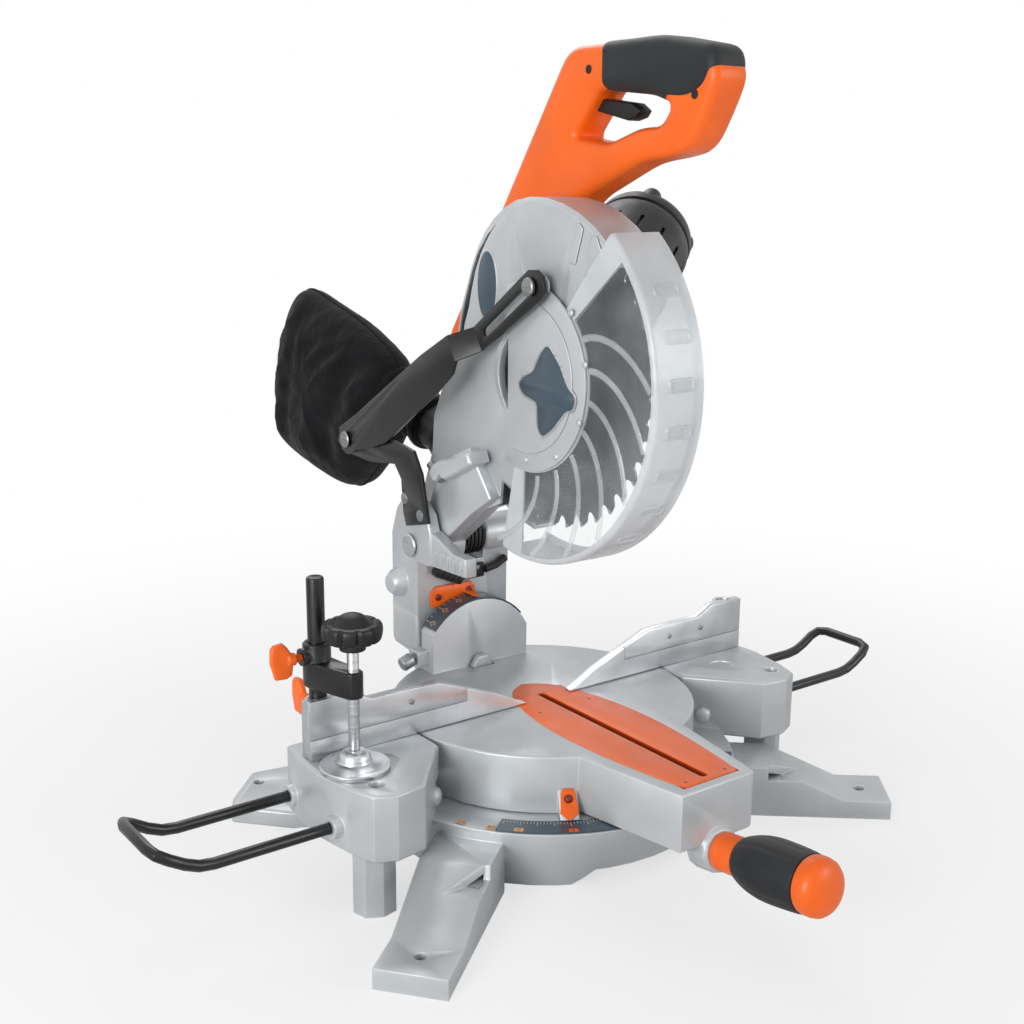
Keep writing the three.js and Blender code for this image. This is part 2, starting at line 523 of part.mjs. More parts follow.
function rearFoot(side) {
  const plan = onSide(spread(REAR_FOOT_SHARES, REAR_FOOT), side);
  const hole = [side * REAR_FOOT.holeX, REAR_FOOT.holeY];
  return cut(
    prism("z", plan, 0, REAR_FOOT.thickness, ROUND),
    disc("z", hole, FOOT_HOLE.radius, -THROUGH, REAR_FOOT.thickness + THROUGH),
  );
}

function makeBase() {
  const under = BOWL.top - WALL;
  const inside = turned("z", [0, 0], [
    [0, -THROUGH], [BOWL.foot - WALL, -THROUGH], [BOWL.rim - WALL, under], [BOWL.ledge, under],
    [BOWL.ledge, TABLE_TOP], [0, TABLE_TOP],
  ]);
  const feet = SIDES.flatMap((side) => [cut(frontFoot(side), inside), cut(rearFoot(side), inside)]);
  const tableRoom = disc("z", [0, 0], BLOCK.x0, BOWL.top, TABLE_TOP + THROUGH);
  const rim = cut(join(bowl(), ...SIDES.map(sideBlock), ...feet), tableRoom);
  const whole = join(rim, disc("z", [0, 0], HUB.radius, 0, HUB.top), ...spokes());
  const underArm = prism("y", spread(ARM_ARCH_SHARES, ARM_ARCH), ARM_ARCH.front, ARM_ARCH.back);
  const bore = disc("z", [0, 0], HUB.bore + SEAT, HUB.boreFoot, HUB.top + THROUGH);
  const pointerRoom = disc("z", [0, 0], POINTER_ROOM.radius, BOWL.top, POINTER_ROOM.top).intersect(
    block([POINTER_ROOM.x0, POINTER_ROOM.x1], [POINTER_ROOM.y0, POINTER_ROOM.y1], [0, TABLE_TOP]),
  );
  const lockRoom = cut(
    disc("z", [0, 0], LOCK_ROOM.outer, LOCK_ROOM.bottom, BOWL.top),
    disc("z", [0, 0], LOCK_ROOM.inner, 0, TABLE_TOP),
    block([-BLOCK.x1, BLOCK.x1], [LOCK_ROOM.y1, BLOCK.x1], [0, TABLE_TOP]),
  );
  casting("base_casting", cut(
    whole, underArm, bore, pointerRoom, lockRoom, ...SIDES.flatMap(sideBlockCuts), ...SIDES.map(frontFootHole),
  ));
}

function makeMitreScale() {
  const low = BOWL.top + SEAT;
  const high = low + SCALE.thickness;
  const section = [[SCALE.inner, low], [SCALE.outer, low], [SCALE.outer, high], [SCALE.inner, high]];
  const rings = [];
  for (let i = 0; i <= SCALE.steps; i++) {
    const turn = THREE.MathUtils.degToRad(-SCALE.span + (2 * SCALE.span * i) / SCALE.steps);
    rings.push(section.map(([radius, z]) => [radius * Math.sin(turn), -radius * Math.cos(turn), z]));
  }
  piece("mitre_scale", skin(rings), COLOURS.scale, 0.35, 0.5);
}

function makeSideRods() {
  const outer = ROD.z + ROD.lift;
  for (const [name, side] of [["wire_support_left", -1], ["wire_support_right", 1]]) {
    const path = [
      [side * ROD.inner, ROD.front, ROD.z], [side * ROD.bend, ROD.front, ROD.z],
      [side * ROD.outer, ROD.front, outer], [side * ROD.outer, ROD.back, outer],
      [side * ROD.bend, ROD.back, ROD.z], [side * ROD.inner, ROD.back, ROD.z],
    ];
    black(name, bar(softened(path, ROD.turn), ROD.radius));
  }
}

function makePivotBolt() {
  const head = PIVOT.bossTop + SEAT;
  bolt("mitre_pivot_bolt", join(
    prism("z", circle(0, 0, PIVOT.head, PIVOT.sides), head, head + PIVOT.headHeight, EASE),
    disc("z", [0, 0], PIVOT.shank, PIVOT.end, head + EASE),
  ));
}

const armShape = () => prism("z", spread(ARM_PLAN_SHARES, ARM), ARM.bottom, TABLE_TOP, EASE);

function armHollow() {
  const plan = inset(spread(ARM_PLAN_SHARES, ARM), WALL);
  return prism("z", plan, ARM.bottom - THROUGH, TABLE_TOP - TABLE.roof);
}

function lockFrame() {
  return frameAlong([0, LOCK.y, LOCK.z], [0, -1, LOCK.rise]);
}

function turret() {
  const room = block([TURRET.left, TURRET.right], [TURRET.front, TABLE.back], [TABLE.floor, TABLE_TOP + TURRET.radius]);
  const arch = disc("y", [0, TILT_AXIS_Z], TURRET.radius, TURRET.front, TURRET.back).intersect(room);
  const flange = disc("y", [0, TILT_AXIS_Z], TURRET.flange, TURRET.front, TABLE.back).intersect(room);
  const lug = block([STOP_LUG.left, TURRET.left + THROUGH], [STOP_LUG.front, STOP_LUG.back], [STOP_LUG.bottom, STOP_LUG.top], EASE);
  return join(arch, flange, lug);
}

function stopKnobFrame() {
  return frameAlong([STOP_KNOB.x, STOP_KNOB.y, STOP_KNOB.z], [-1, 0, -STOP_KNOB.down]);
}

// The frame of the pointer's wedge: X along the skirt, Y up the slope and Z out of it.
function pointerFrame() {
  const turn = THREE.MathUtils.degToRad(POINTER.turn);
  const out = new THREE.Vector3(Math.cos(turn), Math.sin(turn), 0);
  const foot = out.clone().multiplyScalar(POINTER.foot).setZ(POINTER.low);
  const head = out.clone().multiplyScalar(POINTER.head).setZ(POINTER.high);
  const up = head.clone().sub(foot);
  const length = up.length();
  up.normalize();
  const along = new THREE.Vector3(-out.y, out.x, 0).negate();
  const away = along.clone().cross(up);
  if (away.dot(out) < 0) along.negate();
  const frame = new THREE.Matrix4().makeBasis(along, up, along.clone().cross(up)).setPosition(foot);
  return { frame, length };
}

function pointerWedge() {
  const plan = [
    [POINTER.root, POINTER.low], [POINTER.foot, POINTER.low], [POINTER.head, POINTER.high], [POINTER.root, POINTER.high],
  ];
  const turn = new THREE.Matrix4().makeRotationZ(THREE.MathUtils.degToRad(POINTER.turn));
  return prism("y", plan, -POINTER.half, POINTER.half, 0, turn);
}

function makeMitrePointer() {
  const { frame, length } = pointerFrame();
  const box = { x0: -POINTER.half, x1: POINTER.half, y0: -THROUGH, y1: length };
  const centre = [0, length * POINTER_SCREW.share];
  const top = SEAT * 2 + POINTER.thickness;
  orange("mitre_pointer", cut(
    prism("z", spread(POINTER_SHARES, box), SEAT * 2, top, 0, frame),
    disc("z", centre, POINTER_SCREW.radius + SEAT, 0, top + THROUGH, 0, frame),
  ));
  bolt("mitre_pointer_screw", disc("z", centre, POINTER_SCREW.radius, SEAT, top + POINTER_SCREW.depth, EASE, frame));
}

function makeTable() {
  const roof = TABLE_TOP - TABLE.roof;
  const top = TABLE_TOP + THROUGH;
  const plate = prism("z", circle(0, 0, TABLE.radius, MOST_SIDES), TABLE.bottom, TABLE_TOP, EASE);
  const under = disc("z", [0, 0], TABLE.radius - WALL, TABLE.bottom - THROUGH, roof);
  const shell = cut(join(plate, armShape()), under, armHollow());
  const side = [-TROUGH.outer, TROUGH.outer];
  const trough = block(side, [TROUGH.wallFront, TROUGH.wallBack], [TABLE.floor, roof + THROUGH]);
  const boss = disc("z", [0, 0], PIVOT.bossRadius, TABLE.floor, PIVOT.bossTop);
  const spine = block(side, [TROUGH.wallBack - THROUGH, TURRET.front + THROUGH], [TABLE.floor, roof + THROUGH]);
  const room = block([TROUGH.left, TROUGH.right], [TROUGH.front, TROUGH.back], [TABLE.floor + TROUGH.floor, top]);
  const lockBoss = disc("z", [0, 0], LOCK.bossRadius, -LOCK.bossDepth, 0, ROUND, lockFrame());
  const boardSeat = prism("z", inset(spread(BOARD_SHARES, BOARD), -SEAT), TABLE_TOP - BOARD.thickness - SEAT, top);
  const behind = block([-TABLE.radius, TABLE.radius], [TABLE.back, TABLE.radius + WALL], [0, TABLE_TOP * 2]);
  const hole = disc("y", [0, TILT_AXIS_Z], TILT_BOLT.radius + SEAT, TURRET.front - WALL, TABLE.back + THROUGH);
  const pocket = block([-BOLT_POCKET.half, BOLT_POCKET.half], [BOLT_POCKET.front, TURRET.front], [BOLT_POCKET.bottom, top]);
  const wedge = cut(pointerWedge(), under);
  const body = join(cut(join(shell, trough, spine), room, pocket), boss, turret(), wedge);
  casting("turntable", cut(
    join(body, lockBoss), behind, boardSeat, hole,
    disc("z", [0, 0], LOCK.rod + SEAT, -LOCK.rodDepth, THROUGH, 0, lockFrame()),
    disc("z", [0, 0], PIVOT.shank + SEAT, TABLE.floor - THROUGH, top),
    disc("z", [0, 0], STOP_KNOB.shank + SEAT, -STOP_KNOB.reach - SEAT, WALL, 0, stopKnobFrame()),
  ));
  bolt("bevel_stop_screw", join(
    disc("z", [0, 0], STOP_KNOB.shank, -STOP_KNOB.reach, THROUGH, 0, stopKnobFrame()),
    disc("z", [0, 0], STOP_KNOB.radius, 0, STOP_KNOB.length, EASE, stopKnobFrame()),
  ));
}

function makeKerfBoard() {
  const bottom = TABLE_TOP - BOARD.thickness;
  const slot = prism("y", [
    [-KERF.half, bottom - THROUGH], [-KERF.half, TABLE_TOP + THROUGH],
    [KERF.half, TABLE_TOP + THROUGH], [KERF.half, TABLE_TOP], [KERF.under, bottom - THROUGH],
  ], KERF.front, KERF.back);
  const board = prism("z", spread(BOARD_SHARES, BOARD), bottom, TABLE_TOP);
  orange("kerf_board", cut(board, slot));
}

function makeLockHandle() {
  const frame = lockFrame();
  const waist = LOCK_GRIP.from + (LOCK_GRIP.to - LOCK_GRIP.from) * LOCK_GRIP.shareFront;
  const dome = [[0, LOCK_CAP.from], [LOCK_CAP.radius, LOCK_CAP.from]];
  const rise = LOCK_CAP.to - LOCK_CAP.from;
  for (const [out, up] of [[1, 0.35], [0.9, 0.62], [0.68, 0.84], [0.38, 0.96], [0, 1]])
    dome.push([LOCK_CAP.radius * out, LOCK_CAP.from + rise * up]);
  bolt("lock_rod", disc("z", [0, 0], LOCK.rod, -LOCK.rodDepth, 0, EASE, frame));
  orange("lock_collar", turned("z", [0, 0], [
    [0, LOCK_COLLAR.from], [LOCK_COLLAR.rim, LOCK_COLLAR.from], [LOCK_COLLAR.radius, LOCK_COLLAR.from + ROUND],
    [LOCK_COLLAR.radius, LOCK_COLLAR.to - ROUND], [LOCK_COLLAR.rim, LOCK_COLLAR.to], [0, LOCK_COLLAR.to],
  ], frame));
  rubber("lock_grip", turned("z", [0, 0], [
    [0, LOCK_GRIP.from], [LOCK_GRIP.ends - ROUND, LOCK_GRIP.from], [LOCK_GRIP.ends, LOCK_GRIP.from + ROUND],
    [LOCK_GRIP.belly, waist - WALL], [LOCK_GRIP.belly, waist + WALL], [LOCK_GRIP.belly - ROUND, LOCK_GRIP.to - WALL],
    [LOCK_CAP.radius, LOCK_GRIP.to], [0, LOCK_GRIP.to],
  ], frame));
  orange("lock_cap", turned("z", [0, 0], dome, frame));
}

function makeTiltScale() {
  const inner = TURRET.radius + SEAT;
  const outer = inner + TILT_SCALE.thickness;
  const rings = [];
  for (let i = 0; i <= TILT_SCALE.steps; i++) {
    const turn = THREE.MathUtils.degToRad(-TILT_SCALE.span + (2 * TILT_SCALE.span * i) / TILT_SCALE.steps);
    const corner = (radius, y) => [radius * Math.sin(turn), y, TILT_AXIS_Z + radius * Math.cos(turn)];
    rings.push([
      corner(inner, TURRET.front), corner(inner, TURRET.back), corner(outer, TURRET.back), corner(outer, TURRET.front),
    ]);
  }
  piece("bevel_scale", skin(rings), COLOURS.scale, 0.35, 0.5);
}

function hinge(radius, from, to, ease = 0) {
  return disc("x", [HINGE.y, HINGE.z], radius, from, to, ease);
}

function makeTiltArm() {
  const hub = disc("y", [0, TILT_AXIS_Z], TILT.hub, TILT.front, TILT.back);
  const column = prism("y", spread(TILT_SHARES, TILT), TILT.front, TILT.back, ROUND);
  const cheek = prism("x", spread(CHEEK_SHARES, CHEEK), CHEEK.left, CHEEK.right, EASE);
  const ahead = block([CHEEK.left - WALL, CHEEK.right + WALL], [0, TILT.front], [0, LUG.y0]);
  const lug = prism("x", spread(LUG_SHARES, LUG), LUG.left, LUG.right, EASE);
  const ribs = Array.from({ length: LUG_RIB.count }, (_, i) => {
    const y = LUG_RIB.first + i * LUG_RIB.pitch;
    return block([LUG_RIB.left, LUG.left + THROUGH], [y, y + LUG_RIB.width], [LUG_RIB.bottom, LUG_RIB.top]);
  });
  const boss = hinge(RIGHT_BOSS.radius, RIGHT_BOSS.left, RIGHT_BOSS.right, ROUND);
  const web = block([RIGHT_BOSS.left, RIGHT_BOSS.web], [TILT.front, RIGHT_BOSS.webBack], [RIGHT_BOSS.webFoot, HINGE.z]);
  const dome = turned("x", [DOME.y, DOME.z], [
    [0, CHEEK.right], [DOME.radius, CHEEK.right], [DOME.radius, CHEEK.left],
    [DOME.radius * 0.9, CHEEK.left - DOME.depth * 0.5], [DOME.radius * 0.6, CHEEK.left - DOME.depth * 0.85],
    [0, CHEEK.left - DOME.depth],
  ]);
  const barrelRoom = hinge(BARREL.cut, BARREL.cutLeft, RIGHT_BOSS.left - SEAT);
  const tiltHole = disc("y", [0, TILT_AXIS_Z], TILT_BOLT.radius + SEAT, TILT.front - THROUGH, TILT.back + THROUGH);
  const whole = join(hub, column, cut(cheek, ahead), lug, ...ribs, dome);
  const arm = join(cut(whole, barrelRoom), boss, web);
  const pinRoom = hinge(PIN.radius + SEAT, CHEEK.left - WALL, RIGHT_BOSS.right + THROUGH);
  const headPinRoom = disc("x", [HEAD_PIN.y, HEAD_PIN.z], HEAD_PIN.shank + SEAT, RIGHT_BOSS.left + WALL, RIGHT_BOSS.right + THROUGH);
  const threads = spread(BRACKET_BOLT_SHARES, LINK_BRACKET).map((centre) =>
    disc("x", centre, BRACKET_BOLT.shank + SEAT, CHEEK.left - THROUGH, CHEEK.left + BRACKET_BOLT.reach + SEAT),
  );
  casting("tilt_arm", cut(arm, pinRoom, tiltHole, headPinRoom, ...threads));
}

function makeHingePin() {
  steel("hinge_pin", join(
    hinge(PIN.radius, PIN.left - SEAT - THROUGH, PIN.right),
    hinge(PIN.head, PIN.left - SEAT - PIN.headDepth, PIN.left - SEAT, EASE),
    hinge(PIN.spool, BARREL.right + SEAT, RIGHT_BOSS.left - SEAT),
  ));
}

// The spring's centre line: a leg, the turns and a second leg.
function springPath() {
  const at = (turn, radius, x) => [x, HINGE.y - radius * Math.cos(turn), HINGE.z + radius * Math.sin(turn)];
  const points = [];
  const left = SPRING.left + SPRING.wire;
  const count = SPRING.turns * SPRING.steps;
  for (let i = 0; i <= count; i++) {
    points.push(at((i * FULL_TURN) / SPRING.steps, SPRING.radius, left + (SPRING.pitch * i) / SPRING.steps));
  }
  const [first, last] = [points[0], points[points.length - 1]];
  return [
    [first[0], first[1], first[2] - SPRING.leg],
    ...points,
    [last[0], last[1], last[2] + SPRING.leg],
  ];
}

function makeSpring() {
  black("torsion_spring", bar(springPath(), SPRING.wire, SPRING.sides));
}

// The least distance between two turns of the spring's wire, measured on its centre line.
export function springGap() {
  const path = springPath().map((point) => new THREE.Vector3(...point));
  const steps = SPRING.steps;
  let least = Infinity;
  for (let i = 0; i < path.length; i++)
    for (let j = i + steps - 2; j < path.length; j++) least = Math.min(least, path[i].distanceTo(path[j]));
  return least - 2 * SPRING.wire;
}

function makeTiltFittings() {
  const plate = prism("y", spread(TILT_POINTER_SHARES, TILT_POINTER), TILT.front - SEAT - TILT_POINTER.thickness, TILT.front - SEAT);
  const scaleTop = TILT_AXIS_Z + TURRET.radius + SEAT + TILT_SCALE.thickness;
  const finger = block(
    [-TILT_POINTER.tipHalf, TILT_POINTER.tipHalf], [TILT_POINTER.tipFront, TILT.front - SEAT],
    [scaleTop + THROUGH, scaleTop + THROUGH + TILT_POINTER.tipDepth],
  );
  const archRoom = disc("y", [0, TILT_AXIS_Z], TURRET.flange + RUN, TURRET.front, TILT.front);
  orange("bevel_pointer", cut(join(plate, finger), archRoom));
  black("cord_clamp", block(
    [CORD_CLAMP.x0, CORD_CLAMP.x1], [TILT.front - SEAT - CORD_CLAMP.thickness, TILT.front - SEAT],
    [CORD_CLAMP.y0, CORD_CLAMP.y1], EASE,
  ));
}

function makeBoot() {
  const profile = [[0, 0]];
  const pitch = BOOT.length / BOOT.ribs;
  for (let i = 0; i < BOOT.ribs; i++) {
    profile.push([BOOT.radius, i * pitch], [BOOT.radius, (i + 0.6) * pitch]);
    profile.push([BOOT.radius - BOOT.groove, (i + 0.6) * pitch], [BOOT.radius - BOOT.groove, (i + 1) * pitch]);
  }
  profile.push([0, BOOT.length]);
  rubber("cord_boot", turned("z", [0, 0], profile, frameAlong([BOOT.x, BOOT.y, BOOT.z], [-1, 0, 0.45])));
}

function makeLead() {
  rubber("head_lead", bar([
    [LEAD.startX, LEAD.y, LEAD.startZ], [LEAD.bendX, LEAD.y, LEAD.bendZ], [LEAD.endX, LEAD.y, LEAD.endZ],
  ], LEAD.radius, LEAST_SIDES));
}

function makeLinkBracket() {
  const bolts = spread(BRACKET_BOLT_SHARES, LINK_BRACKET);
  const through = [LINK_BRACKET.left - THROUGH, LINK_BRACKET.right + THROUGH];
  const sunk = LINK_BRACKET.left + BRACKET_BOLT.depth;
  const holes = bolts.flatMap((centre) => [
    disc("x", centre, BRACKET_BOLT.shank + SEAT, ...through),
    disc("x", centre, BRACKET_BOLT.radius + SEAT, LINK_BRACKET.left - THROUGH, sunk + SEAT),
  ]);
  const rivetHole = disc("x", [RIVET.y, RIVET.z], RIVET.bore, ...through);
  black("link_bracket", cut(
    prism("x", spread(LINK_BRACKET_SHARES, LINK_BRACKET), LINK_BRACKET.left, LINK_BRACKET.right), rivetHole, ...holes,
  ));
  bolts.forEach((centre, i) => {
    bolt(`link_bracket_bolt_${i + 1}`, join(
      disc("x", centre, BRACKET_BOLT.radius, LINK_BRACKET.left, sunk),
      disc("x", centre, BRACKET_BOLT.shank, sunk - THROUGH, CHEEK.left + BRACKET_BOLT.reach),
    ));
  });
}

function makeTiltLock() {
  bolt("bevel_pivot_bolt", join(
    prism("y", circle(0, TILT_AXIS_Z, TILT_BOLT.head, TILT_BOLT.sides), TILT_BOLT.front - SEAT, TURRET.front - SEAT, EASE),
    disc("y", [0, TILT_AXIS_Z], TILT_BOLT.radius, TURRET.front - THROUGH, TILT_BOLT.back),
  ));
  const reach = TILT_LEVER.reach;
  const z = TILT_AXIS_Z;
  const plan = [
    [0, z + TILT_LEVER.hub], [reach, z + TILT_LEVER.drop + TILT_LEVER.tip],
    [reach + TILT_LEVER.tip, z + TILT_LEVER.drop], [reach, z + TILT_LEVER.drop - TILT_LEVER.tip], [0, z - TILT_LEVER.hub],
  ];
  black("bevel_lock_lever", cut(
    join(
      prism("y", plan, TILT_LEVER.front, TILT_LEVER.back, ROUND),
      disc("y", [0, z], TILT_LEVER.hub, TILT.back + SEAT, TILT_LEVER.back),
    ),
    disc("y", [0, z], TILT_BOLT.radius + SEAT, TILT.back, TILT_LEVER.back + THROUGH),
  ));
}

function makeFence(side, word) {
  const plan = onSide(spread(FENCE_SHARES, FENCE), side);
  const over = FENCE.y1 + THROUGH;
  const behind = FENCE.back - THROUGH;
  const foot = TABLE_TOP + SEAT;
  const outward = (from, to) => range(side, from, to);
  const body = prism("y", plan, FENCE.front, FENCE.back);
  const rebate = block(outward(FENCE.stepX, FENCE.x1 + THROUGH), [FENCE.front - THROUGH, FENCE.rebate], [FENCE.step, over]);
  const post = [side * -POST.x, POST.y];
  const boss = disc("z", post, FENCE_BOSS.radius, foot, FENCE_BOSS.top, EASE);
  const end = block(outward(FENCE_BOSS.from, FENCE.x1), [behind, FENCE_BOSS.back], [foot, FENCE_BOSS.top], EASE);
  const ahead = block(outward(FENCE.x0, FENCE.x1 + WALL), [-FENCE.x1, FENCE.rebate], [foot - THROUGH, over]);
  const flange = block(
    outward(FENCE_FLANGE.from, FENCE_FLANGE.to + WALL), [behind, FENCE_FLANGE.back],
    [foot, foot + FENCE_FLANGE.height], EASE,
  );
  const bore = disc("z", post, POST.radius + SEAT, foot - THROUGH, over);
  const screwBore = disc("y", [post[0], WING.postZ], WING.shank + SEAT, POST.y, POST.y + WING.root);
  casting(`fence_${word}`, cut(join(cut(body, rebate), cut(join(boss, end), ahead), flange), bore, screwBore));
  const plate = prism("y", plan, FENCE.front, FENCE.rebate - SEAT);
  const kept = block(
    outward(FENCE.stepX + SEAT, FENCE.x1 + THROUGH), [FENCE.front - THROUGH, 0], [FENCE.step + SEAT, over],
  );
  casting(`fence_plate_${word}`, plate.intersect(kept));
}

// A thumb screw on the post's axis at a height, its paddle standing away in the given direction.
function wingScrew(name, z, turn) {
  const frame = new THREE.Matrix4().makeTranslation(POST.x, POST.y, z);
  frame.multiply(new THREE.Matrix4().makeRotationZ(turn));
  const half = WING.thickness * HALF;
  const paddle = { x0: WING.root, x1: WING.reach, y0: -WING.half, y1: WING.half };
  orange(name, join(
    prism("y", spread(WING_SHARES, paddle), -half, half, EASE, frame),
    disc("x", [0, 0], WALL, WING.root - WALL * HALF, WING.root + WALL, EASE, frame),
    disc("x", [0, 0], WING.shank, WING.start, WING.root, 0, frame),
  ));
}

// The clamp arm's plan: two round ends with straight sides between them.
function armPlan(from, fromRadius, to, toRadius) {
  const along = Math.atan2(to[1] - from[1], to[0] - from[0]);
  const lean = Math.acos((fromRadius - toRadius) / Math.hypot(to[0] - from[0], to[1] - from[1]));
  const arc = (centre, radius, start, end) =>
    Array.from({ length: LEAST_SIDES * HALF }, (_, i) => {
      const turn = start + ((end - start) * i) / (LEAST_SIDES * HALF - 1);
      return [centre[0] + radius * Math.cos(turn), centre[1] + radius * Math.sin(turn)];
    });
  return [
    ...arc(from, fromRadius, along + lean, along + FULL_TURN - lean),
    ...arc(to, toRadius, along - lean, along + lean),
  ];
}

function makeClamp() {
  const centre = [POST.x, POST.y];
  const rod = [CLAMP.x, CLAMP.y];
  black("clamp_post", disc("z", centre, POST.radius, POST.bottom, POST.top, EASE));
  const arm = join(
    prism("z", armPlan(centre, CLAMP.hub, rod, CLAMP.eye), CLAMP.bottom, CLAMP.top, EASE),
    disc("z", centre, CLAMP.hub, CLAMP.bottom, CLAMP.hubTop, EASE),
    disc("x", [POST.y, WING.armZ], CLAMP.boss, POST.x - CLAMP.hub - THIN_WALL, POST.x),
  );
  black("clamp_arm", cut(
    arm,
    disc("z", centre, POST.radius + SEAT, CLAMP.bottom - THROUGH, CLAMP.hubTop + THROUGH),
    disc("z", rod, CLAMP.rod + SEAT, CLAMP.bottom - THROUGH, CLAMP.top + THROUGH),
    disc("x", [POST.y, WING.armZ], WING.shank + SEAT, POST.x - WING.root, POST.x),
  ));
  wingScrew("arm_wing_screw", WING.armZ, Math.PI);
  wingScrew("post_wing_screw", WING.postZ, QUARTER_TURN);
  steel("clamp_rod", disc("z", rod, CLAMP.rod, PAD.top + SEAT, CLAMP.rodTop));
  const crown = [
    [0, PAD.bottom], [PAD.radius, PAD.bottom], [PAD.radius, PAD.rim], [PAD.radius * PAD.shoulderShare, PAD.shoulder],
    [PAD.crown, PAD.top], [0, PAD.top],
  ];
  steel("clamp_pad", turned("z", rod, crown));
  const step = 4;
  const lobes = circle(...rod, KNOB.radius, KNOB.lobes * step).map(([x, y], i) => {
    const share = i % step === 0 ? KNOB.dipShare : 1;
    return [rod[0] + (x - rod[0]) * share, rod[1] + (y - rod[1]) * share];
  });
  black("clamp_knob", join(
    prism("z", lobes, KNOB.bottom, KNOB.top, ROUND),
    disc("z", rod, KNOB.neck, KNOB.foot, KNOB.bottom + ROUND, EASE),
  ));
}

const between = (share, a, b) => a + (b - a) * Math.min(1, Math.max(0, share));

function guardSection(degrees, grow = 0) {
  const share = (degrees - GUARD_FRONT.until) / (GUARD_REAR.since - GUARD_FRONT.until);
  const outer = between(share, GUARD_FRONT.radius, GUARD_REAR.radius) + grow;
  const shoulder = between(share, GUARD_FRONT.shoulder, GUARD_REAR.shoulder);
  const shoulderX = between(share, GUARD_FRONT.shoulderX, GUARD_REAR.shoulderX);
  const inner = outer - GUARD.wall;
  return [
    [GUARD.hub, GUARD.left], [shoulder, GUARD.left], [outer, shoulderX], [outer, GUARD.right],
    [GUARD.full, GUARD.right], [GUARD.full, GUARD.right - GUARD.wall], [inner, GUARD.right - GUARD.wall],
    [inner, shoulderX + EASE], [shoulder - EASE, GUARD.left + GUARD.wall], [GUARD.hub, GUARD.left + GUARD.wall],
  ];
}

// Everything inside the upper guard that stays free for the blade.
function guardRoom() {
  return roundBlade((degrees) => {
    const section = guardSection(degrees);
    const [inner, wallX] = section[7];
    return [
      [0, GUARD.left + GUARD.wall], [section[8][0], GUARD.left + GUARD.wall], [inner, wallX],
      [inner, GUARD.right - GUARD.wall], [0, GUARD.right - GUARD.wall],
    ];
  }, GUARD.from - EASE, GUARD.to + EASE, GUARD.steps);
}

// The room that the swinging guard sweeps through, from closed to open.
function guardPath() {
  const { inner, wallIn, wallOut, left, lip, lipInner } = GUARD_PATH;
  const section = [
    [inner, left], [wallOut, left], [wallOut, COVER.right + RUN], [lipInner, COVER.right + RUN], [lipInner, lip],
    [wallIn, lip], [wallIn, GUARD.left], [inner, GUARD.left],
  ];
  return roundBlade(() => section, GUARD_PATH.from, GUARD_PATH.to, GUARD_PATH.steps);
}

function ductFrame() {
  return frameAlong([0, DUCT.y, DUCT.z], [0, 1, DUCT.rise]);
}

// The room that the tilting arm's lug needs in the head when the head is down.
function lugRoom() {
  const back = new THREE.Matrix4().makeTranslation(0, HINGE.y, HINGE.z);
  back.multiply(new THREE.Matrix4().makeRotationX(-THREE.MathUtils.degToRad(CHOP)));
  back.multiply(new THREE.Matrix4().makeTranslation(0, -HINGE.y, -HINGE.z));
  const plan = inset(spread(LUG_SHARES, LUG), -THROUGH);
  return prism("x", plan, LUG.left - THROUGH, LUG.right + THROUGH, 0, back);
}

function makeUpperGuard() {
  const shell = roundBlade(guardSection, GUARD.from, GUARD.to, GUARD.steps);
  const around = (radius, from, to) => disc("x", [BLADE.y, BLADE.z], radius, from, to);
  const hubRing = around(GUARD.hubRim, GUARD.left, GUARD.left + GUARD.wall);
  const rightWall = around(GUARD.full + EASE, GUARD.right - GUARD.wall, GUARD.right);
  const neck = prism("x", spread(NECK_SHARES, NECK), NECK.left, NECK.right);
  const web = prism("x", spread(WEB_SHARES, WEB), WEB.left, WEB.right, EASE);
  const barrel = hinge(BARREL.radius, BARREL.left, BARREL.right, EASE);
  const duct = disc("z", [0, 0], DUCT.radius, DUCT.from, DUCT.to, 0, ductFrame());
  const ear = prism("x", spread(EAR_SHARES, EAR), EAR.left, EAR.right, ROUND);
  const ductBore = disc("z", [0, 0], DUCT.bore, DUCT.from - WALL, DUCT.to + THROUGH, 0, ductFrame());
  const bladeRoom = disc("x", [BLADE.y, BLADE.z], GUARD.inner, GUARD.left + GUARD.wall, GUARD.right - GUARD.wall);
  const portRoom = disc("z", [0, 0], PORT.band + SEAT, PORT.from - SEAT, PORT.to, 0, ductFrame());
  const body = cut(join(neck, web, barrel, duct), guardPath(), portRoom);
  const whole = cut(join(shell, hubRing, rightWall, body, ear), bladeRoom, guardRoom(), ductBore, lugRoom());
  casting("upper_guard", cut(
    whole,
    around(GUARD.hub, GUARD.left - WALL, GUARD.left + GUARD.wall + THROUGH),
    around(SHAFT_HOLE, GUARD.right - WALL, GUARD.right + THROUGH),
    hinge(PIN.radius + SEAT, BARREL.left - THROUGH, BARREL.right + THROUGH),
    stopDisc(STOP_SCREW.radius + SEAT, -THROUGH, STOP_SCREW.length * 2),
  ));
}

// A frame at the tip of the depth stop screw, looking up along the screw.
function screwFrame() {
  return frameAlong([STOP_SCREW.x, STOP_SCREW.y, STOP_SCREW.z], [0, STOP_SCREW.toY, STOP_SCREW.toZ]);
}

const stopDisc = (radius, from, to, ease = 0) => disc("z", [0, 0], radius, from, to, ease, screwFrame());

function makeDustPort() {
  black("dust_port", cut(
    join(
      disc("z", [0, 0], PORT.radius, PORT.from, PORT.to, EASE, ductFrame()),
      disc("z", [0, 0], PORT.band, PORT.from, PORT.from + WALL * 2, EASE, ductFrame()),
    ),
    disc("z", [0, 0], PORT.bore, PORT.from - THROUGH, PORT.to + THROUGH, 0, ductFrame()),
  ));
}

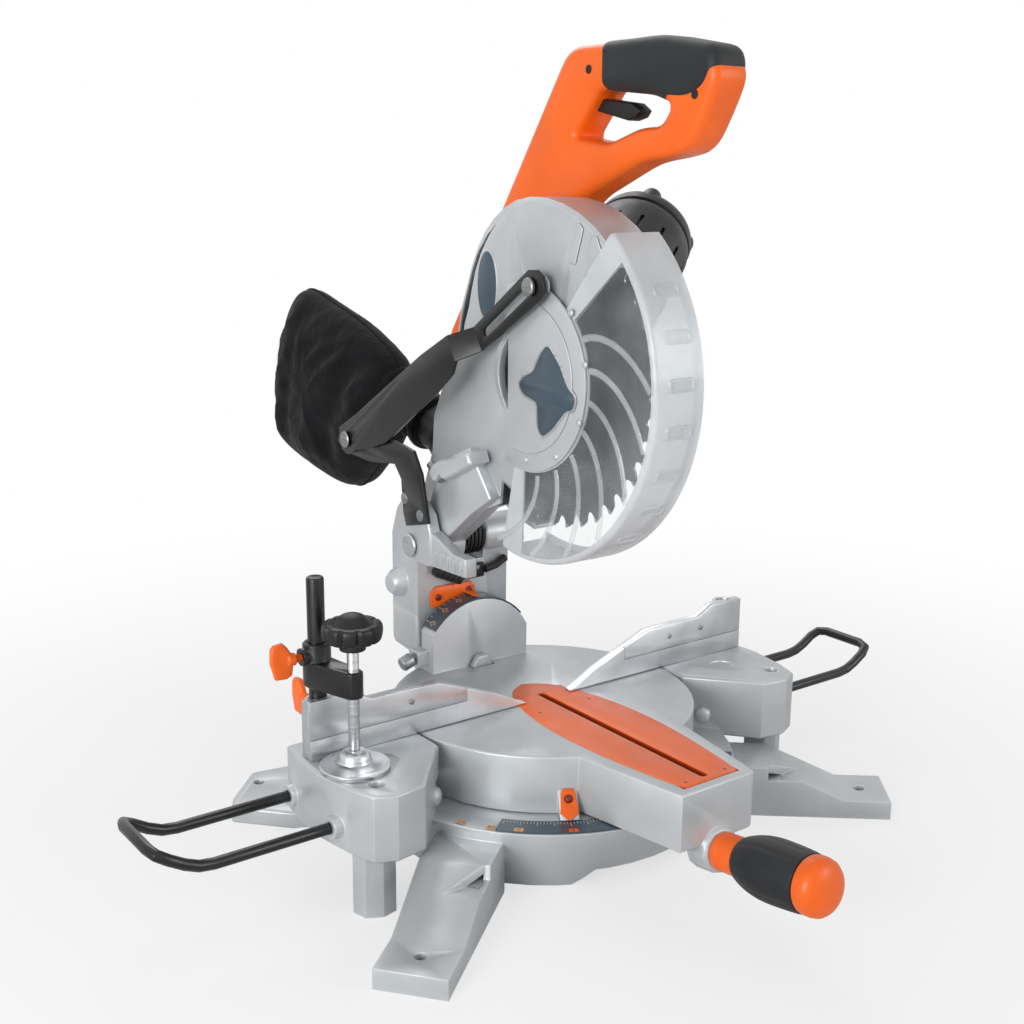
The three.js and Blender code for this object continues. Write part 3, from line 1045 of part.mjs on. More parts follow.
// The bag: its outline shrinks towards both sides like a filled cushion.
function makeBag() {
  const plan = spread(BAG_SHARES, BAG);
  const middle = plan.reduce(([u, v], [y, z]) => [u + y / plan.length, v + z / plan.length], [0, 0]);
  const rings = [];
  for (let i = -BAG.layers; i <= BAG.layers; i++) {
    const turn = (i / BAG.layers) * QUARTER_TURN * 0.96;
    const size = Math.pow(Math.cos(turn), 2 / BAG.squareness);
    const x = BAG.half * Math.sign(Math.sin(turn)) * Math.pow(Math.abs(Math.sin(turn)), 2 / BAG.squareness);
    rings.push(plan.map(([y, z]) => [x, middle[0] + (y - middle[0]) * size, middle[1] + (z - middle[1]) * size]));
  }
  const mouth = circle(0, 0, PORT.radius + SEAT, sidesFor(PORT.radius));
  const room = prism("z", mouth, PORT.from, PORT.to + SEAT, 0, ductFrame());
  const neck = disc("z", [0, 0], PORT.radius + SEAT + THIN_WALL, PORT.to - WALL * 2, PORT.to + BAG.half, 0, ductFrame());
  piece("dust_bag", cut(join(skin(rings), neck), room), COLOURS.rubber, 0.95, 0);
}

function motorFrame() {
  return frameAlong([MOTOR.x, MOTOR.y, MOTOR.z], [MOTOR.towardX, MOTOR.towardY, MOTOR.towardZ]);
}

const motorDisc = (radius, from, to, ease = 0) => disc("z", [0, 0], radius, from, to, ease, motorFrame());

function makeMotor() {
  const rightOnly = block([GEAR.left, BLOCK.x1], [-BLOCK.x1, BLOCK.x1], [0, BLADE.z * 2]);
  const collar = motorDisc(GEAR.collar, GEAR.collarFrom, GEAR.collarTo).intersect(rightOnly);
  const case_ = disc("x", [BLADE.y, BLADE.z], GEAR.radius, GEAR.left, GEAR.right, ROUND);
  const bore = disc("x", [BLADE.y, BLADE.z], GEAR.bore, GEAR.left - THROUGH, SHAFT.right + SEAT);
  const motorRoom = motorDisc(MOTOR.radius + SEAT, GEAR.collarTo, MOTOR_BODY.to);
  casting("gear_housing", cut(join(case_, collar), bore, motorRoom));
  black("motor_housing", motorDisc(MOTOR.radius, MOTOR_BODY.from, MOTOR_BODY.to, MOTOR_BODY.ease));
  const bumps = Array.from({ length: MOTOR_CAP.bumps }, (_, i) => {
    const turn = ((i + HALF) * FULL_TURN) / MOTOR_CAP.bumps;
    const reach = MOTOR_CAP.radius * MOTOR_CAP.bumpAtShare;
    const centre = [reach * Math.cos(turn), reach * Math.sin(turn)];
    return disc("z", centre, MOTOR_CAP.bump, MOTOR_CAP.from + WALL, MOTOR_CAP.to + MOTOR_CAP.bumpRise, EASE, motorFrame());
  });
  black("motor_end_cap", join(motorDisc(MOTOR_CAP.radius, MOTOR_CAP.from, MOTOR_CAP.to, MOTOR_BODY.ease), ...bumps));
}

function makeHandle() {
  const outer = prism("x", spread(HANDLE_SHARES, HANDLE), HANDLE.left, HANDLE.right, HANDLE.ease);
  const opening = prism("x", spread(HANDLE_OPENING_SHARES, HANDLE), 0, GEAR.right * 2);
  const gripPlan = spread(GRIP_SHARES, HANDLE);
  const gripRoom = prism("x", inset(gripPlan, -SEAT), 0, GEAR.right * 2);
  const gearRoom = disc("x", [BLADE.y, BLADE.z], GEAR.radius + SEAT, 0, GEAR.right * 2);
  const collarRoom = motorDisc(GEAR.collar + SEAT, 0, GEAR.collarTo + SEAT);
  const motorRoom = motorDisc(MOTOR.radius + SEAT, GEAR.collarTo, MOTOR_BODY.to);
  const slot = block(
    [TRIGGER.left - TRIGGER.slot, TRIGGER.right + TRIGGER.slot], [TRIGGER_SLOT.x0, TRIGGER_SLOT.x1], [TRIGGER_SLOT.y0, TRIGGER_SLOT.y1],
  );
  orange("handle", cut(outer, opening, gripRoom, gearRoom, collarRoom, motorRoom, slot));
  const grip = prism("x", gripPlan, GRIP.left, GRIP.right, GRIP.ease);
  rubber("handle_grip", cut(grip, slot));
  black("trigger", prism("x", spread(TRIGGER_SHARES, TRIGGER), TRIGGER.left, TRIGGER.right, EASE));
}

function makeBlade() {
  const plan = [];
  for (let i = 0; i < BLADE.teeth; i++) {
    const pitch = FULL_TURN / BLADE.teeth;
    for (const [share, radius] of [[0, BLADE.radius], [0.45, BLADE.radius * 0.985], [0.6, BLADE.radius * BLADE.rootShare], [0.9, BLADE.radius * BLADE.rootShare]]) {
      const turn = -(i + share) * pitch;
      plan.push([BLADE.y + radius * Math.cos(turn), BLADE.z + radius * Math.sin(turn)]);
    }
  }
  const half = BLADE.thickness * HALF;
  const around = (radius, from, to, ease = 0) => disc("x", [BLADE.y, BLADE.z], radius, from, to, ease);
  steel("blade", cut(prism("x", plan, -half, half), around(SHAFT.bore, -WALL, WALL)));
  bolt("arbor_shaft", cut(
    around(SHAFT.radius, -half, SHAFT.right), around(SHAFT.boltBore, -WALL, SHAFT.boltReach + SEAT),
  ));
  bolt("inner_flange", cut(around(FLANGE.radius, half + SEAT, FLANGE.inner, EASE), around(SHAFT.bore, 0, FLANGE.inner * 2)));
  bolt("outer_flange", cut(around(FLANGE.radius, FLANGE.outer, -half - SEAT, EASE), around(SHAFT.boltBore, FLANGE.outer * 2, 0)));
  bolt("arbor_bolt", join(
    prism("x", circle(BLADE.y, BLADE.z, ARBOR_BOLT.head, ARBOR_BOLT.sides), ARBOR_BOLT.left, FLANGE.outer - SEAT, EASE),
    around(ARBOR_BOLT.shank, FLANGE.outer - THROUGH, SHAFT.boltReach),
  ));
}

function makeSwingGuard() {
  const inRim = COVER.outer - COVER.rim;
  const inWall = COVER.left + COVER.wall;
  const section = [
    [COVER.inner, COVER.left], [COVER.outer, COVER.left], [COVER.outer, COVER.right], [COVER.lipInner, COVER.right],
    [COVER.lipInner, COVER.right - COVER.lip], [inRim, COVER.right - COVER.lip], [inRim, inWall], [COVER.inner, inWall],
  ];
  piece("lower_guard", roundBlade(() => section, COVER_SPAN.from, COVER_SPAN.to, COVER_SPAN.steps), COLOURS.clear, 0.15, 0);
  const around = (radius, from, to) => disc("x", [BLADE.y, BLADE.z], radius, from, to);
  const behind = block(
    [PLATE.left - WALL, PLATE.right + WALL], [BLADE.y + PLATE.flat, BLADE.y + PLATE.radius * 2],
    [BLADE.z - PLATE.radius * 2, BLADE.z + PLATE.radius * 2],
  );
  const lobe = disc("x", [STUD.y, STUD.z], STUD.lobe, PLATE.left, PLATE.right);
  const spigot = around(PLATE.spigot, PLATE.right - THROUGH, PLATE.spigotRight);
  const stud = disc("x", [STUD.y, STUD.z], STUD.radius, STUD.left, PLATE.left + THROUGH);
  const body = join(cut(around(PLATE.radius, PLATE.left, PLATE.right), behind), spigot, lobe, stud);
  steel("guard_hub_plate", cut(body, around(PLATE.spigotBore, PLATE.left - THROUGH, PLATE.spigotRight + THROUGH)));
}

// A point of the link by distances along the bar from the rivet and across it.
function onLink([along, across]) {
  const way = new THREE.Vector2(STUD.y - RIVET.y, STUD.z - RIVET.z).normalize();
  return [RIVET.y + way.x * along + way.y * across, RIVET.z + way.y * along - way.x * across];
}

function makeLink() {
  const rearPlan = spread(LINK_REAR_SHARES, LINK_BAR).map(onLink);
  const frontPlan = spread(LINK_FRONT_SHARES, LINK_BAR).map(onLink);
  const rear = prism("x", rearPlan, LINK.left, LINK.right);
  const front = prism("x", frontPlan, LINK.frontLeft, LINK.frontRight);
  const edge = (plan, { low, high }, left, right) =>
    [[right, low], [right, high], [left, high], [left, low]].map(([x, i]) => [x, ...plan[i]]);
  const jog = skin([
    edge(rearPlan, LINK_REAR_END, LINK.left, LINK.right),
    edge(frontPlan, LINK_FRONT_END, LINK.frontLeft, LINK.frontRight),
  ]);
  const away = new THREE.Vector2(STUD.y - SLOT_END.y, STUD.z - SLOT_END.z).normalize();
  const aside = new THREE.Vector2(-away.y, away.x).multiplyScalar(LINK_PIN.slotHalf);
  const slotPlan = [
    [STUD.y + aside.x, STUD.z + aside.y], [STUD.y - aside.x, STUD.z - aside.y],
    [SLOT_END.y - aside.x, SLOT_END.z - aside.y], [SLOT_END.y + aside.x, SLOT_END.z + aside.y],
  ];
  const wide = [LINK.frontLeft - THROUGH, LINK.frontRight + THROUGH];
  const slot = join(
    prism("x", slotPlan, ...wide),
    disc("x", [STUD.y, STUD.z], LINK_PIN.slotHalf, ...wide),
    disc("x", [SLOT_END.y, SLOT_END.z], LINK_PIN.slotHalf, ...wide),
  );
  const rivetHole = disc("x", [RIVET.y, RIVET.z], RIVET.bore, LINK.left - THROUGH, LINK.right + THROUGH);
  black("link_bar", cut(join(rear, front, jog), slot, rivetHole));
  bolt("link_rivet", join(
    disc("x", [RIVET.y, RIVET.z], RIVET.radius, RIVET.left, LINK.left - SEAT, EASE),
    disc("x", [RIVET.y, RIVET.z], RIVET.shank, RIVET.left + EASE, LINK_BRACKET.right),
  ));
  bolt("link_pin", join(
    disc("x", [STUD.y, STUD.z], LINK_PIN.head, LINK_PIN.left, LINK_PIN.headRight, EASE),
    disc("x", [STUD.y, STUD.z], LINK_PIN.radius, LINK_PIN.left + EASE, LINK_PIN.right),
  ));
}

function makeHeadLockPin() {
  black("head_lock_pin", join(
    disc("x", [HEAD_PIN.y, HEAD_PIN.z], HEAD_PIN.knob, HEAD_PIN.from, HEAD_PIN.to, ROUND),
    disc("x", [HEAD_PIN.y, HEAD_PIN.z], HEAD_PIN.shank, RIGHT_BOSS.web - WALL, HEAD_PIN.from + ROUND),
  ));
}

makeBase();
makeMitreScale();
makeSideRods();
makePivotBolt();
makeFence(-1, "left");
makeFence(1, "right");
makeClamp();
makeTable();
makeMitrePointer();
makeKerfBoard();
makeLockHandle();
makeTiltScale();
makeTiltArm();
makeHingePin();
makeSpring();
makeTiltFittings();
makeBoot();
makeLead();
makeLinkBracket();
makeTiltLock();
makeUpperGuard();
black("depth_stop_screw", stopDisc(STOP_SCREW.radius, 0, STOP_SCREW.length, EASE));
makeDustPort();
makeBag();
makeMotor();
makeHandle();
makeBlade();
makeSwingGuard();
makeLink();
makeHeadLockPin();

console.log(`least gap in the torsion spring ${springGap().toFixed(2)} mm`);

export default root;
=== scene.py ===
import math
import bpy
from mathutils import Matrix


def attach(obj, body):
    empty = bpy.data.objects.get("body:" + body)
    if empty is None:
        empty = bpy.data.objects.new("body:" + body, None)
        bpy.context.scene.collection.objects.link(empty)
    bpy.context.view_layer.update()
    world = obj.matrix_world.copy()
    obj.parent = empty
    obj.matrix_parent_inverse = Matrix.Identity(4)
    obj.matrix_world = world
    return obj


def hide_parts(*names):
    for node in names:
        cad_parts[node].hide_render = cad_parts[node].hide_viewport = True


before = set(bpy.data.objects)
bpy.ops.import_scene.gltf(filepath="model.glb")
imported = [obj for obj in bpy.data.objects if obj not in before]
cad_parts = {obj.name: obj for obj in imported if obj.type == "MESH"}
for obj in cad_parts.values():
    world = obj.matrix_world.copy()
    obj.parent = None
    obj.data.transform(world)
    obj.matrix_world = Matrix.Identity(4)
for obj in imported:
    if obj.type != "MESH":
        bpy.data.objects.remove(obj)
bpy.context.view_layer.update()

# Looks of a compound mitre saw, built round its packed solids.
# Sizes are millimetres; X is the operator's right, Y runs to the back and Z is up.
from types import SimpleNamespace as Sizes

import bmesh
import bpy
from mathutils import Matrix, Vector, geometry, noise

MM = 0.001
FULL_TURN = 2 * math.pi
SOFT_ANGLE = math.radians(32)
FINE = 64
WELD = 0.002

# Axes and surfaces of the machine that its details sit on.
BLADE = Sizes(y=-9, z=388, radius=127, half=1.2, teeth=40)
HINGE = Sizes(y=132, z=219)
LOCK = Sizes(y=-224, z=52, rise=0.132)
MOTOR = Sizes(origin=(30, 0, 405), toward=(0.766, 0.413, 0.492))
DUCT = Sizes(origin=(0, 100, 299.5), toward=(0, 1, 0.286))
RING = Sizes(top=57.7, zero=-118.9)
ARCH = Sizes(radius=63.6, z=105)

# The camera looks from the left, low over the bench.
CAMERA_PLACE = (-691.65, -886.93, 549.74)
CAMERA_RIGHT = Vector((0.80506, -0.59312, 0.00901))
CAMERA_UP = Vector((0.13636, 0.19983, 0.97030))
CAMERA_LENS = 48.17
CAMERA_SENSOR = 36


def placed(name, data):
    """A new object in the scene."""
    made = bpy.data.objects.new(name, data)
    bpy.context.scene.collection.objects.link(made)
    return made


def make_camera():
    data = bpy.data.cameras.new("camera")
    data.lens = CAMERA_LENS
    data.sensor_width = CAMERA_SENSOR
    data.clip_end = 20
    camera = placed("camera", data)
    right = CAMERA_RIGHT.normalized()
    up = (CAMERA_UP - right * right.dot(CAMERA_UP)).normalized()
    turn = Matrix((right, up, right.cross(up))).transposed()
    camera.matrix_world = Matrix.Translation(Vector(CAMERA_PLACE) * MM) @ turn.to_4x4()
    bpy.context.scene.camera = camera


make_camera()


def opaque(colour):
    """A plain colour gets its fourth channel; a socket passes as it is."""
    return colour + (1.0,) if isinstance(colour, tuple) else colour


class Nodes:
    """Short names for the work in one node tree."""

    def __init__(self, tree):
        self.nodes = tree.nodes
        self.links = tree.links

    def feed(self, source, target):
        if hasattr(source, "links"):
            self.links.new(source, target)
        else:
            target.default_value = source

    def node(self, kind, inputs=(), **settings):
        """A new node with its settings and what its inputs take, by name or by number."""
        made = self.nodes.new(kind)
        for key, value in settings.items():
            setattr(made, key, value)
        for socket, source in dict(inputs).items():
            self.feed(source, made.inputs[socket])
        return made

    def math(self, operation, a, b):
        return self.node("ShaderNodeMath", {0: a, 1: b}, operation=operation).outputs[0]

    def blend(self, share, a, b):
        return self.node("ShaderNodeMixShader", {0: share, 1: a, 2: b}).outputs[0]


class Shader(Nodes):
    """A material with one Principled shader."""

    def __init__(self, name, roughness, metallic=0.0, **values):
        self.material = bpy.data.materials.new(name)
        self.material.use_nodes = True
        super().__init__(self.material.node_tree)
        self.base = self.nodes["Principled BSDF"].inputs
        for socket, value in {"Roughness": roughness, "Metallic": metallic, **values}.items():
            self.base[socket.replace("_", " ")].default_value = value
        self.place = self.node("ShaderNodeTexCoord").outputs["Object"]
        self.normal = None

    def ramp(self, value, low, high, to_low=0.0, to_high=1.0, **settings):
        given = dict(enumerate((value, low, high, to_low, to_high)))
        return self.node("ShaderNodeMapRange", given, **settings).outputs[0]

    def mix(self, share, a, b):
        given = {"Factor": share, 6: opaque(a), 7: opaque(b)}
        return self.node("ShaderNodeMix", given, data_type="RGBA").outputs[2]

    def mapped(self, stretch, shift=(0, 0, 0)):
        given = {"Scale": stretch, "Location": shift, "Vector": self.place}
        return self.node("ShaderNodeMapping", given).outputs[0]

    def noise(self, scale, detail=3.0, place=None, rough=0.5):
        given = {"Scale": scale, "Detail": detail, "Roughness": rough, "Vector": place or self.place}
        return self.node("ShaderNodeTexNoise", given).outputs["Fac"]

    def cloud(self, scale, detail=3.0, low=0.3, high=0.7, **more):
        return self.ramp(self.noise(scale, detail, **more), low, high)

    def wave(self, scale, distortion, place, **settings):
        given = {"Scale": scale, "Distortion": distortion, "Vector": place}
        return self.node("ShaderNodeTexWave", given, **settings).outputs["Fac"]

    def rough(self, value, low, high, to_low, to_high):
        self.feed(self.ramp(value, low, high, to_low, to_high), self.base["Roughness"])

    def bump(self, height, distance, strength=1.0):
        given = {"Distance": distance * MM, "Strength": strength, "Height": height}
        if self.normal:
            given["Normal"] = self.normal
        self.normal = self.node("ShaderNodeBump", given).outputs["Normal"]

    def rounding(self, radius):
        return self.node("ShaderNodeBevel", {"Radius": radius * MM}, samples=4).outputs["Normal"]

    def edges(self, radius, share):
        """How near a point is to an edge, from 0 to a share: the mask of the painted edge highlights."""
        true = self.node("ShaderNodeNewGeometry").outputs["True Normal"]
        given = {0: self.rounding(radius), 1: true}
        dot = self.node("ShaderNodeVectorMath", given, operation="DOT_PRODUCT").outputs["Value"]
        return self.math("MULTIPLY", self.ramp(dot, 0.995, 0.9), share)

    def finish(self, colour):
        self.feed(opaque(colour), self.base["Base Color"])
        if self.normal:
            self.feed(self.normal, self.base["Normal"])
        return self.material


def scaled(colour, share):
    return tuple(channel * share for channel in colour)


def srgb(red, green, blue):
    return tuple(
        value / 12.92 if value <= 0.04045 else ((value + 0.055) / 1.055) ** 2.4
        for value in (red / 255, green / 255, blue / 255)
    )


SILVER = srgb(192, 196, 199)
DULL_STEEL = srgb(178, 181, 184)
CLEAN_STEEL = srgb(214, 216, 218)


# Silver paint on a sand casting: fine grain, faint cloudiness and a painted highlight that makes every edge
# near-white.
def cast_paint():
    s = Shader("cast_paint", 0.36, 0.35)
    colour = s.mix(s.cloud(14, 4, 0.35), scaled(SILVER, 0.88), scaled(SILVER, 1.04))
    # Painted highlight: the edges are mixed towards near-white.
    colour = s.mix(s.edges(1.2, 0.5), colour, srgb(238, 240, 241))
    s.rough(s.noise(60), 0.3, 0.7, 0.3, 0.44)
    s.normal = s.rounding(1.0)
    s.bump(s.noise(1400, 2), 0.05, 0.5)
    s.bump(s.noise(160, 2), 0.12, 0.35)
    return s.finish(colour)


# Aluminium milled along its length.
def milled():
    s = Shader("machined_fence", 0.3, 0.85, Anisotropic=0.55)
    marks = s.noise(30, 4, s.mapped((1, 1, 60)))
    colour = s.mix(s.cloud(20, 4), srgb(176, 179, 182), CLEAN_STEEL)
    s.rough(marks, 0.2, 0.8, 0.26, 0.4)
    s.normal = s.rounding(0.6)
    s.bump(marks, 0.03, 0.35)
    return s.finish(colour)


def steel(name, tone=1.0, roughness=0.24):
    s = Shader(name, roughness, 1.0)
    streaks = s.noise(40, 4, s.mapped((1, 1, 20)))
    colour = s.mix(s.ramp(streaks, 0.3, 0.7), scaled(DULL_STEEL, tone), scaled(CLEAN_STEEL, tone))
    s.rough(streaks, 0.3, 0.7, roughness, roughness + 0.14)
    s.normal = s.rounding(0.4)
    s.bump(s.noise(900, 2), 0.02, 0.4)
    return s.finish(colour)


# The blade's plate, ground in circles about its own axis.
def blade_steel():
    s = Shader("blade_steel", 0.26, 1.0, Anisotropic=0.75)
    place = s.mapped((1, 1, 1), (0, -BLADE.y * MM, -BLADE.z * MM))
    rings = s.wave(240, 3, place, wave_type="RINGS", rings_direction="X")
    colour = s.mix(s.cloud(25), srgb(84, 87, 91), srgb(138, 141, 145))
    s.rough(rings, 0, 1, 0.22, 0.34)
    s.bump(rings, 0.02, 0.4)
    return s.finish(colour)


# Moulded plastic: a fine spark-eroded grain and a painted highlight that makes its edges paler.
def plastic(name, colour, roughness, grain=900, depth=0.05, edge=0.25, edge_highlight_gain=1.35, coat=0.0):
    s = Shader(name, roughness, 0.0, Coat_Weight=coat, Coat_Roughness=0.25, Specular_IOR_Level=0.35)
    tint = s.mix(s.cloud(18), scaled(colour, 0.92), scaled(colour, 1.05))
    # Painted highlight: the edges are mixed towards a paler copy of the colour.
    tint = s.mix(s.edges(0.9, edge), tint, tuple(min(1.0, c * edge_highlight_gain + 0.01) for c in colour))
    s.rough(s.noise(50), 0.3, 0.7, roughness - 0.05, roughness + 0.07)
    s.normal = s.rounding(0.9)
    s.bump(s.noise(grain, 2), depth, 0.5)
    return s.finish(tint)


# Soft overmould with a pebbled skin.
def rubber():
    s = Shader("black_rubber", 0.55, 0.0, Sheen_Weight=0.05, Sheen_Roughness=0.5, Specular_IOR_Level=0.35)
    colour = srgb(26, 28, 30)
    pebbles = s.node("ShaderNodeTexVoronoi", {"Scale": 420, "Vector": s.place}).outputs["Distance"]
    tint = s.mix(s.cloud(30, 4, high=0.75), scaled(colour, 0.85), scaled(colour, 1.35))
    s.normal = s.rounding(0.9)
    s.bump(pebbles, 0.12, 0.45)
    s.bump(s.noise(60), 0.3, 0.3)
    return s.finish(tint)


# Plain woven cloth: a blotchy tone, and paler where the weave's threads rise.
def cloth():
    s = Shader("black_cloth", 0.9, 0.0, Sheen_Weight=0.08, Sheen_Roughness=0.5, Specular_IOR_Level=0.15)
    colour = srgb(16, 17, 19)
    weave = s.math("MULTIPLY", *(
        s.wave(330, 1.2, s.mapped(stretch), wave_type="BANDS", bands_direction="DIAGONAL")
        for stretch in ((0, 1, 0.25), (0, -0.25, 1))
    ))
    tint = s.mix(s.cloud(26, 5, 0.35, 0.75, rough=0.65), scaled(colour, 0.6), scaled(colour, 1.5))
    tint = s.mix(s.math("MULTIPLY", weave, 0.3), tint, scaled(colour, 2.0))
    s.bump(s.noise(70, 5), 2.2, 0.8)
    s.bump(weave, 0.25, 0.6)
    return s.finish(tint)


# Clear and frosted moulded sheet.
def clear_sheet(name, colour, alpha, roughness, streak):
    s = Shader(name, roughness, 0.0, IOR=1.49, Coat_Weight=0.4, Coat_Roughness=0.12)
    s.feed(s.ramp(s.noise(22, 4), 0.3, 0.75, alpha - streak, alpha + streak), s.base["Alpha"])
    tint = s.mix(s.cloud(35, 3, 0.35), scaled(colour, 0.93), colour)
    s.bump(s.noise(120), 0.15, 0.4)
    return s.finish(tint)


def ink(name, *colour):
    return plastic(name, srgb(*colour), 0.5, edge=0.0)


PAINT = cast_paint()
MILLED = milled()
STEEL = steel("bright_steel")
BOLT = steel("bolt_steel", 0.55, 0.32)
SAW = blade_steel()
ORANGE = plastic("orange_plastic", srgb(247, 104, 20), 0.38, edge=0.3, edge_highlight_gain=1.15, coat=0.12)
BLACK = plastic("black_plastic", srgb(22, 23, 25), 0.42, 700, 0.09, 0.35, 3.0)
COAT = plastic("black_coated", srgb(12, 13, 14), 0.3, 500, 0.04, 0.4, 4.0, 0.25)
RUBBER = rubber()
DIAL = plastic("dial_blue", srgb(58, 76, 88), 0.34, edge=0.1, coat=0.3)
WHITE_INK = ink("pale_ink", 214, 218, 220)
BEIGE_INK = ink("beige_ink", 240, 178, 128)
DARK_INK = ink("dark_ink", 40, 46, 52)
RED = plastic("red_screw", srgb(112, 22, 10), 0.25, edge=0.5, coat=0.5)
CLOTH = cloth()
CLEAR = clear_sheet("clear_sheet", srgb(214, 220, 224), 0.1, 0.1, 0.04)
FROSTED = clear_sheet("frosted_sheet", srgb(219, 224, 227), 0.72, 0.3, 0.08)
# The ribs and blisters are clear plastic; their paler, half-opaque tint is a painted highlight.
RIB_HIGHLIGHT = clear_sheet("clear_rib_highlight", srgb(226, 231, 234), 0.3, 0.1, 0.12)
# Painted shade: a darker copy of the orange for the skirt inside the kerf slot.
KERF_SHADE = ink("kerf_shaded_orange", 170, 66, 16)

# The part's slots of the materials that aren't named as their slots are.
SLOT_OF = {
    "cast_paint": "cast_grey",
    "blade_steel": "bright_steel",
    "red_screw": "bolt_steel",
    "kerf_shaded_orange": "orange_plastic",
    **dict.fromkeys(("pale_ink", "beige_ink", "dark_ink"), "dial_blue"),
    **dict.fromkeys(("clear_sheet", "frosted_sheet", "clear_rib_highlight"), "clear_plastic"),
}


# Solid building, in millimetres. A shape is a pair: its points and its faces.
def shade(piece, soft=SOFT_ANGLE):
    piece.data.shade_smooth()
    piece.data.set_sharp_from_angle(angle=soft)


def solid(name, shape, material, where=None, soft=SOFT_ANGLE):
    """One mesh from a shape, welded, with its faces turned out."""
    points, faces = shape
    mesh = bpy.data.meshes.new(name)
    mesh.from_pydata([(where @ Vector(p) if where else Vector(p)) * MM for p in points], [], faces)
    weld = bmesh.new()
    weld.from_mesh(mesh)
    bmesh.ops.remove_doubles(weld, verts=weld.verts, dist=WELD * MM)
    bmesh.ops.recalc_face_normals(weld, faces=weld.faces)
    weld.to_mesh(mesh)
    weld.free()
    mesh.materials.append(material)
    piece = placed(name, mesh)
    shade(piece, soft)
    return piece


def join(piece, body, material, slot=None):
    plain = material.name.partition(".")[0]
    slot = slot or SLOT_OF.get(plain, plain)
    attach(piece, body)
    return piece


def build(name, shape, material, body, where=None, slot=None, soft=SOFT_ANGLE):
    """One mesh piece that rides on a body."""
    return join(solid(name, shape, material, where, soft), body, material, slot)


def together(shapes):
    """Several shapes as one."""
    points, faces = [], []
    for more_points, more_faces in shapes:
        faces += [tuple(len(points) + i for i in face) for face in more_faces]
        points += more_points
    return points, faces


def circle(radius, count=FINE, centre=(0, 0)):
    turns = [i * FULL_TURN / count for i in range(count)]
    return [(centre[0] + radius * math.cos(turn), centre[1] + radius * math.sin(turn)) for turn in turns]


def quarter(steps):
    """The sine and cosine of even steps through a quarter turn."""
    turns = [math.pi / 2 * i / steps for i in range(steps + 1)]
    return [(math.sin(turn), math.cos(turn)) for turn in turns]


def skin(rings, looped=False):
    """The surface through rings that all have the same number of points, closed at both ends or looped."""
    count = len(rings[0])
    points = [p for ring in rings for p in ring]
    faces = []
    for i in range(len(rings) if looped else len(rings) - 1):
        here, there = i * count, (i + 1) % len(rings) * count
        for j in range(count):
            k = (j + 1) % count
            faces.append((here + j, here + k, there + k, there + j))
    if not looped:
        faces.append(tuple(range(count - 1, -1, -1)))
        faces.append(tuple(range(len(points) - count, len(points))))
    return points, faces


def lathe(profile, count=FINE, looped=False):
    """A profile of (radius, height) turned about Z."""
    return skin([[(x, y, h) for x, y in circle(max(r, WELD), count)] for r, h in profile], looped)


PLACE = {
    "x": lambda u, v, w: (w, u, v),
    "z": lambda u, v, w: (u, v, w),
}
STRAIGHT = 1e-6
LEAST_MITRE = 0.5
CORNER_REACH = 0.45


def inset(plan, distance):
    """The plan with each side moved inward; a negative distance moves it out."""
    turned = sum(a[0] * b[1] - b[0] * a[1] for a, b in zip(plan, plan[1:] + plan[:1]))
    way = 1 if turned > 0 else -1
    moved = []
    for i, point in enumerate(plan):
        before = (Vector(point) - Vector(plan[i - 1])).normalized()
        after = (Vector(plan[(i + 1) % len(plan)]) - Vector(point)).normalized()
        middle = Vector((-before.y - after.y, before.x + after.x))
        if middle.length < STRAIGHT:
            moved.append(point)
            continue
        middle.normalize()
        share = max(LEAST_MITRE, middle.dot(Vector((-before.y, before.x))))
        moved.append(tuple(Vector(point) + middle * (way * distance / share)))
    return moved


def rounded(plan, radius, steps=4):
    """The plan with its corners turned into short curves."""
    made = []
    for i, corner in enumerate(plan):
        corner = Vector(corner)
        before, after = Vector(plan[i - 1]) - corner, Vector(plan[(i + 1) % len(plan)]) - corner
        start = corner + before.normalized() * min(radius, before.length * CORNER_REACH)
        end = corner + after.normalized() * min(radius, after.length * CORNER_REACH)
        for step in range(steps + 1):
            t = step / steps
            made.append(tuple(start * (1 - t) ** 2 + corner * 2 * t * (1 - t) + end * t * t))
    return made


def oblong(x0, x1, y0, y1):
    return [(x0, y0), (x1, y0), (x1, y1), (x0, y1)]


def spread(shares, x0, x1, y0, y1):
    return [(x0 + u * (x1 - x0), y0 + v * (y1 - y0)) for u, v in shares]


def plate(axis, plan, low, high, ease=0.0, steps=4, holes=()):
    """A plan pushed along an axis with round edges, and holes with round edges through it."""
    place = PLACE[axis]
    curve = quarter(steps) if ease else [(0.0, 1.0)]
    levels = [(ease * (1 - sine), low + ease * (1 - cosine)) for sine, cosine in curve]
    levels += [(d, low + high - w) for d, w in reversed(levels)]
    points, faces, ends = [], [], [[], []]
    for index, loop in enumerate((plan, *holes)):
        sign = -1 if index else 1
        rings = [inset(loop, sign * distance) for distance, _ in levels]
        start = len(points)
        count = len(loop)
        for ring, (_, w) in zip(rings, levels):
            points += [place(u, v, w) for u, v in ring]
        for i in range(len(levels) - 1):
            for j in range(count):
                k = (j + 1) % count
                a, b = start + i * count, start + (i + 1) * count
                faces.append((a + j, a + k, b + k, b + j))
        ends[0].append([(start + j, rings[0][j]) for j in range(count)])
        ends[1].append([(start + (len(levels) - 1) * count + j, rings[-1][j]) for j in range(count)])
    for end in ends:
        names = [name for loop in end for name, _ in loop]
        flat = [[Vector((*point, 0)) for _, point in loop] for loop in end]
        faces += [tuple(names[i] for i in corner) for corner in geometry.tessellate_polygon(flat)]
    return points, faces


def along(origin, direction):
    """A frame whose Z runs along a direction from a point."""
    turn = Vector((0, 0, 1)).rotation_difference(Vector(direction))
    return Matrix.Translation(Vector(origin)) @ turn.to_matrix().to_4x4()


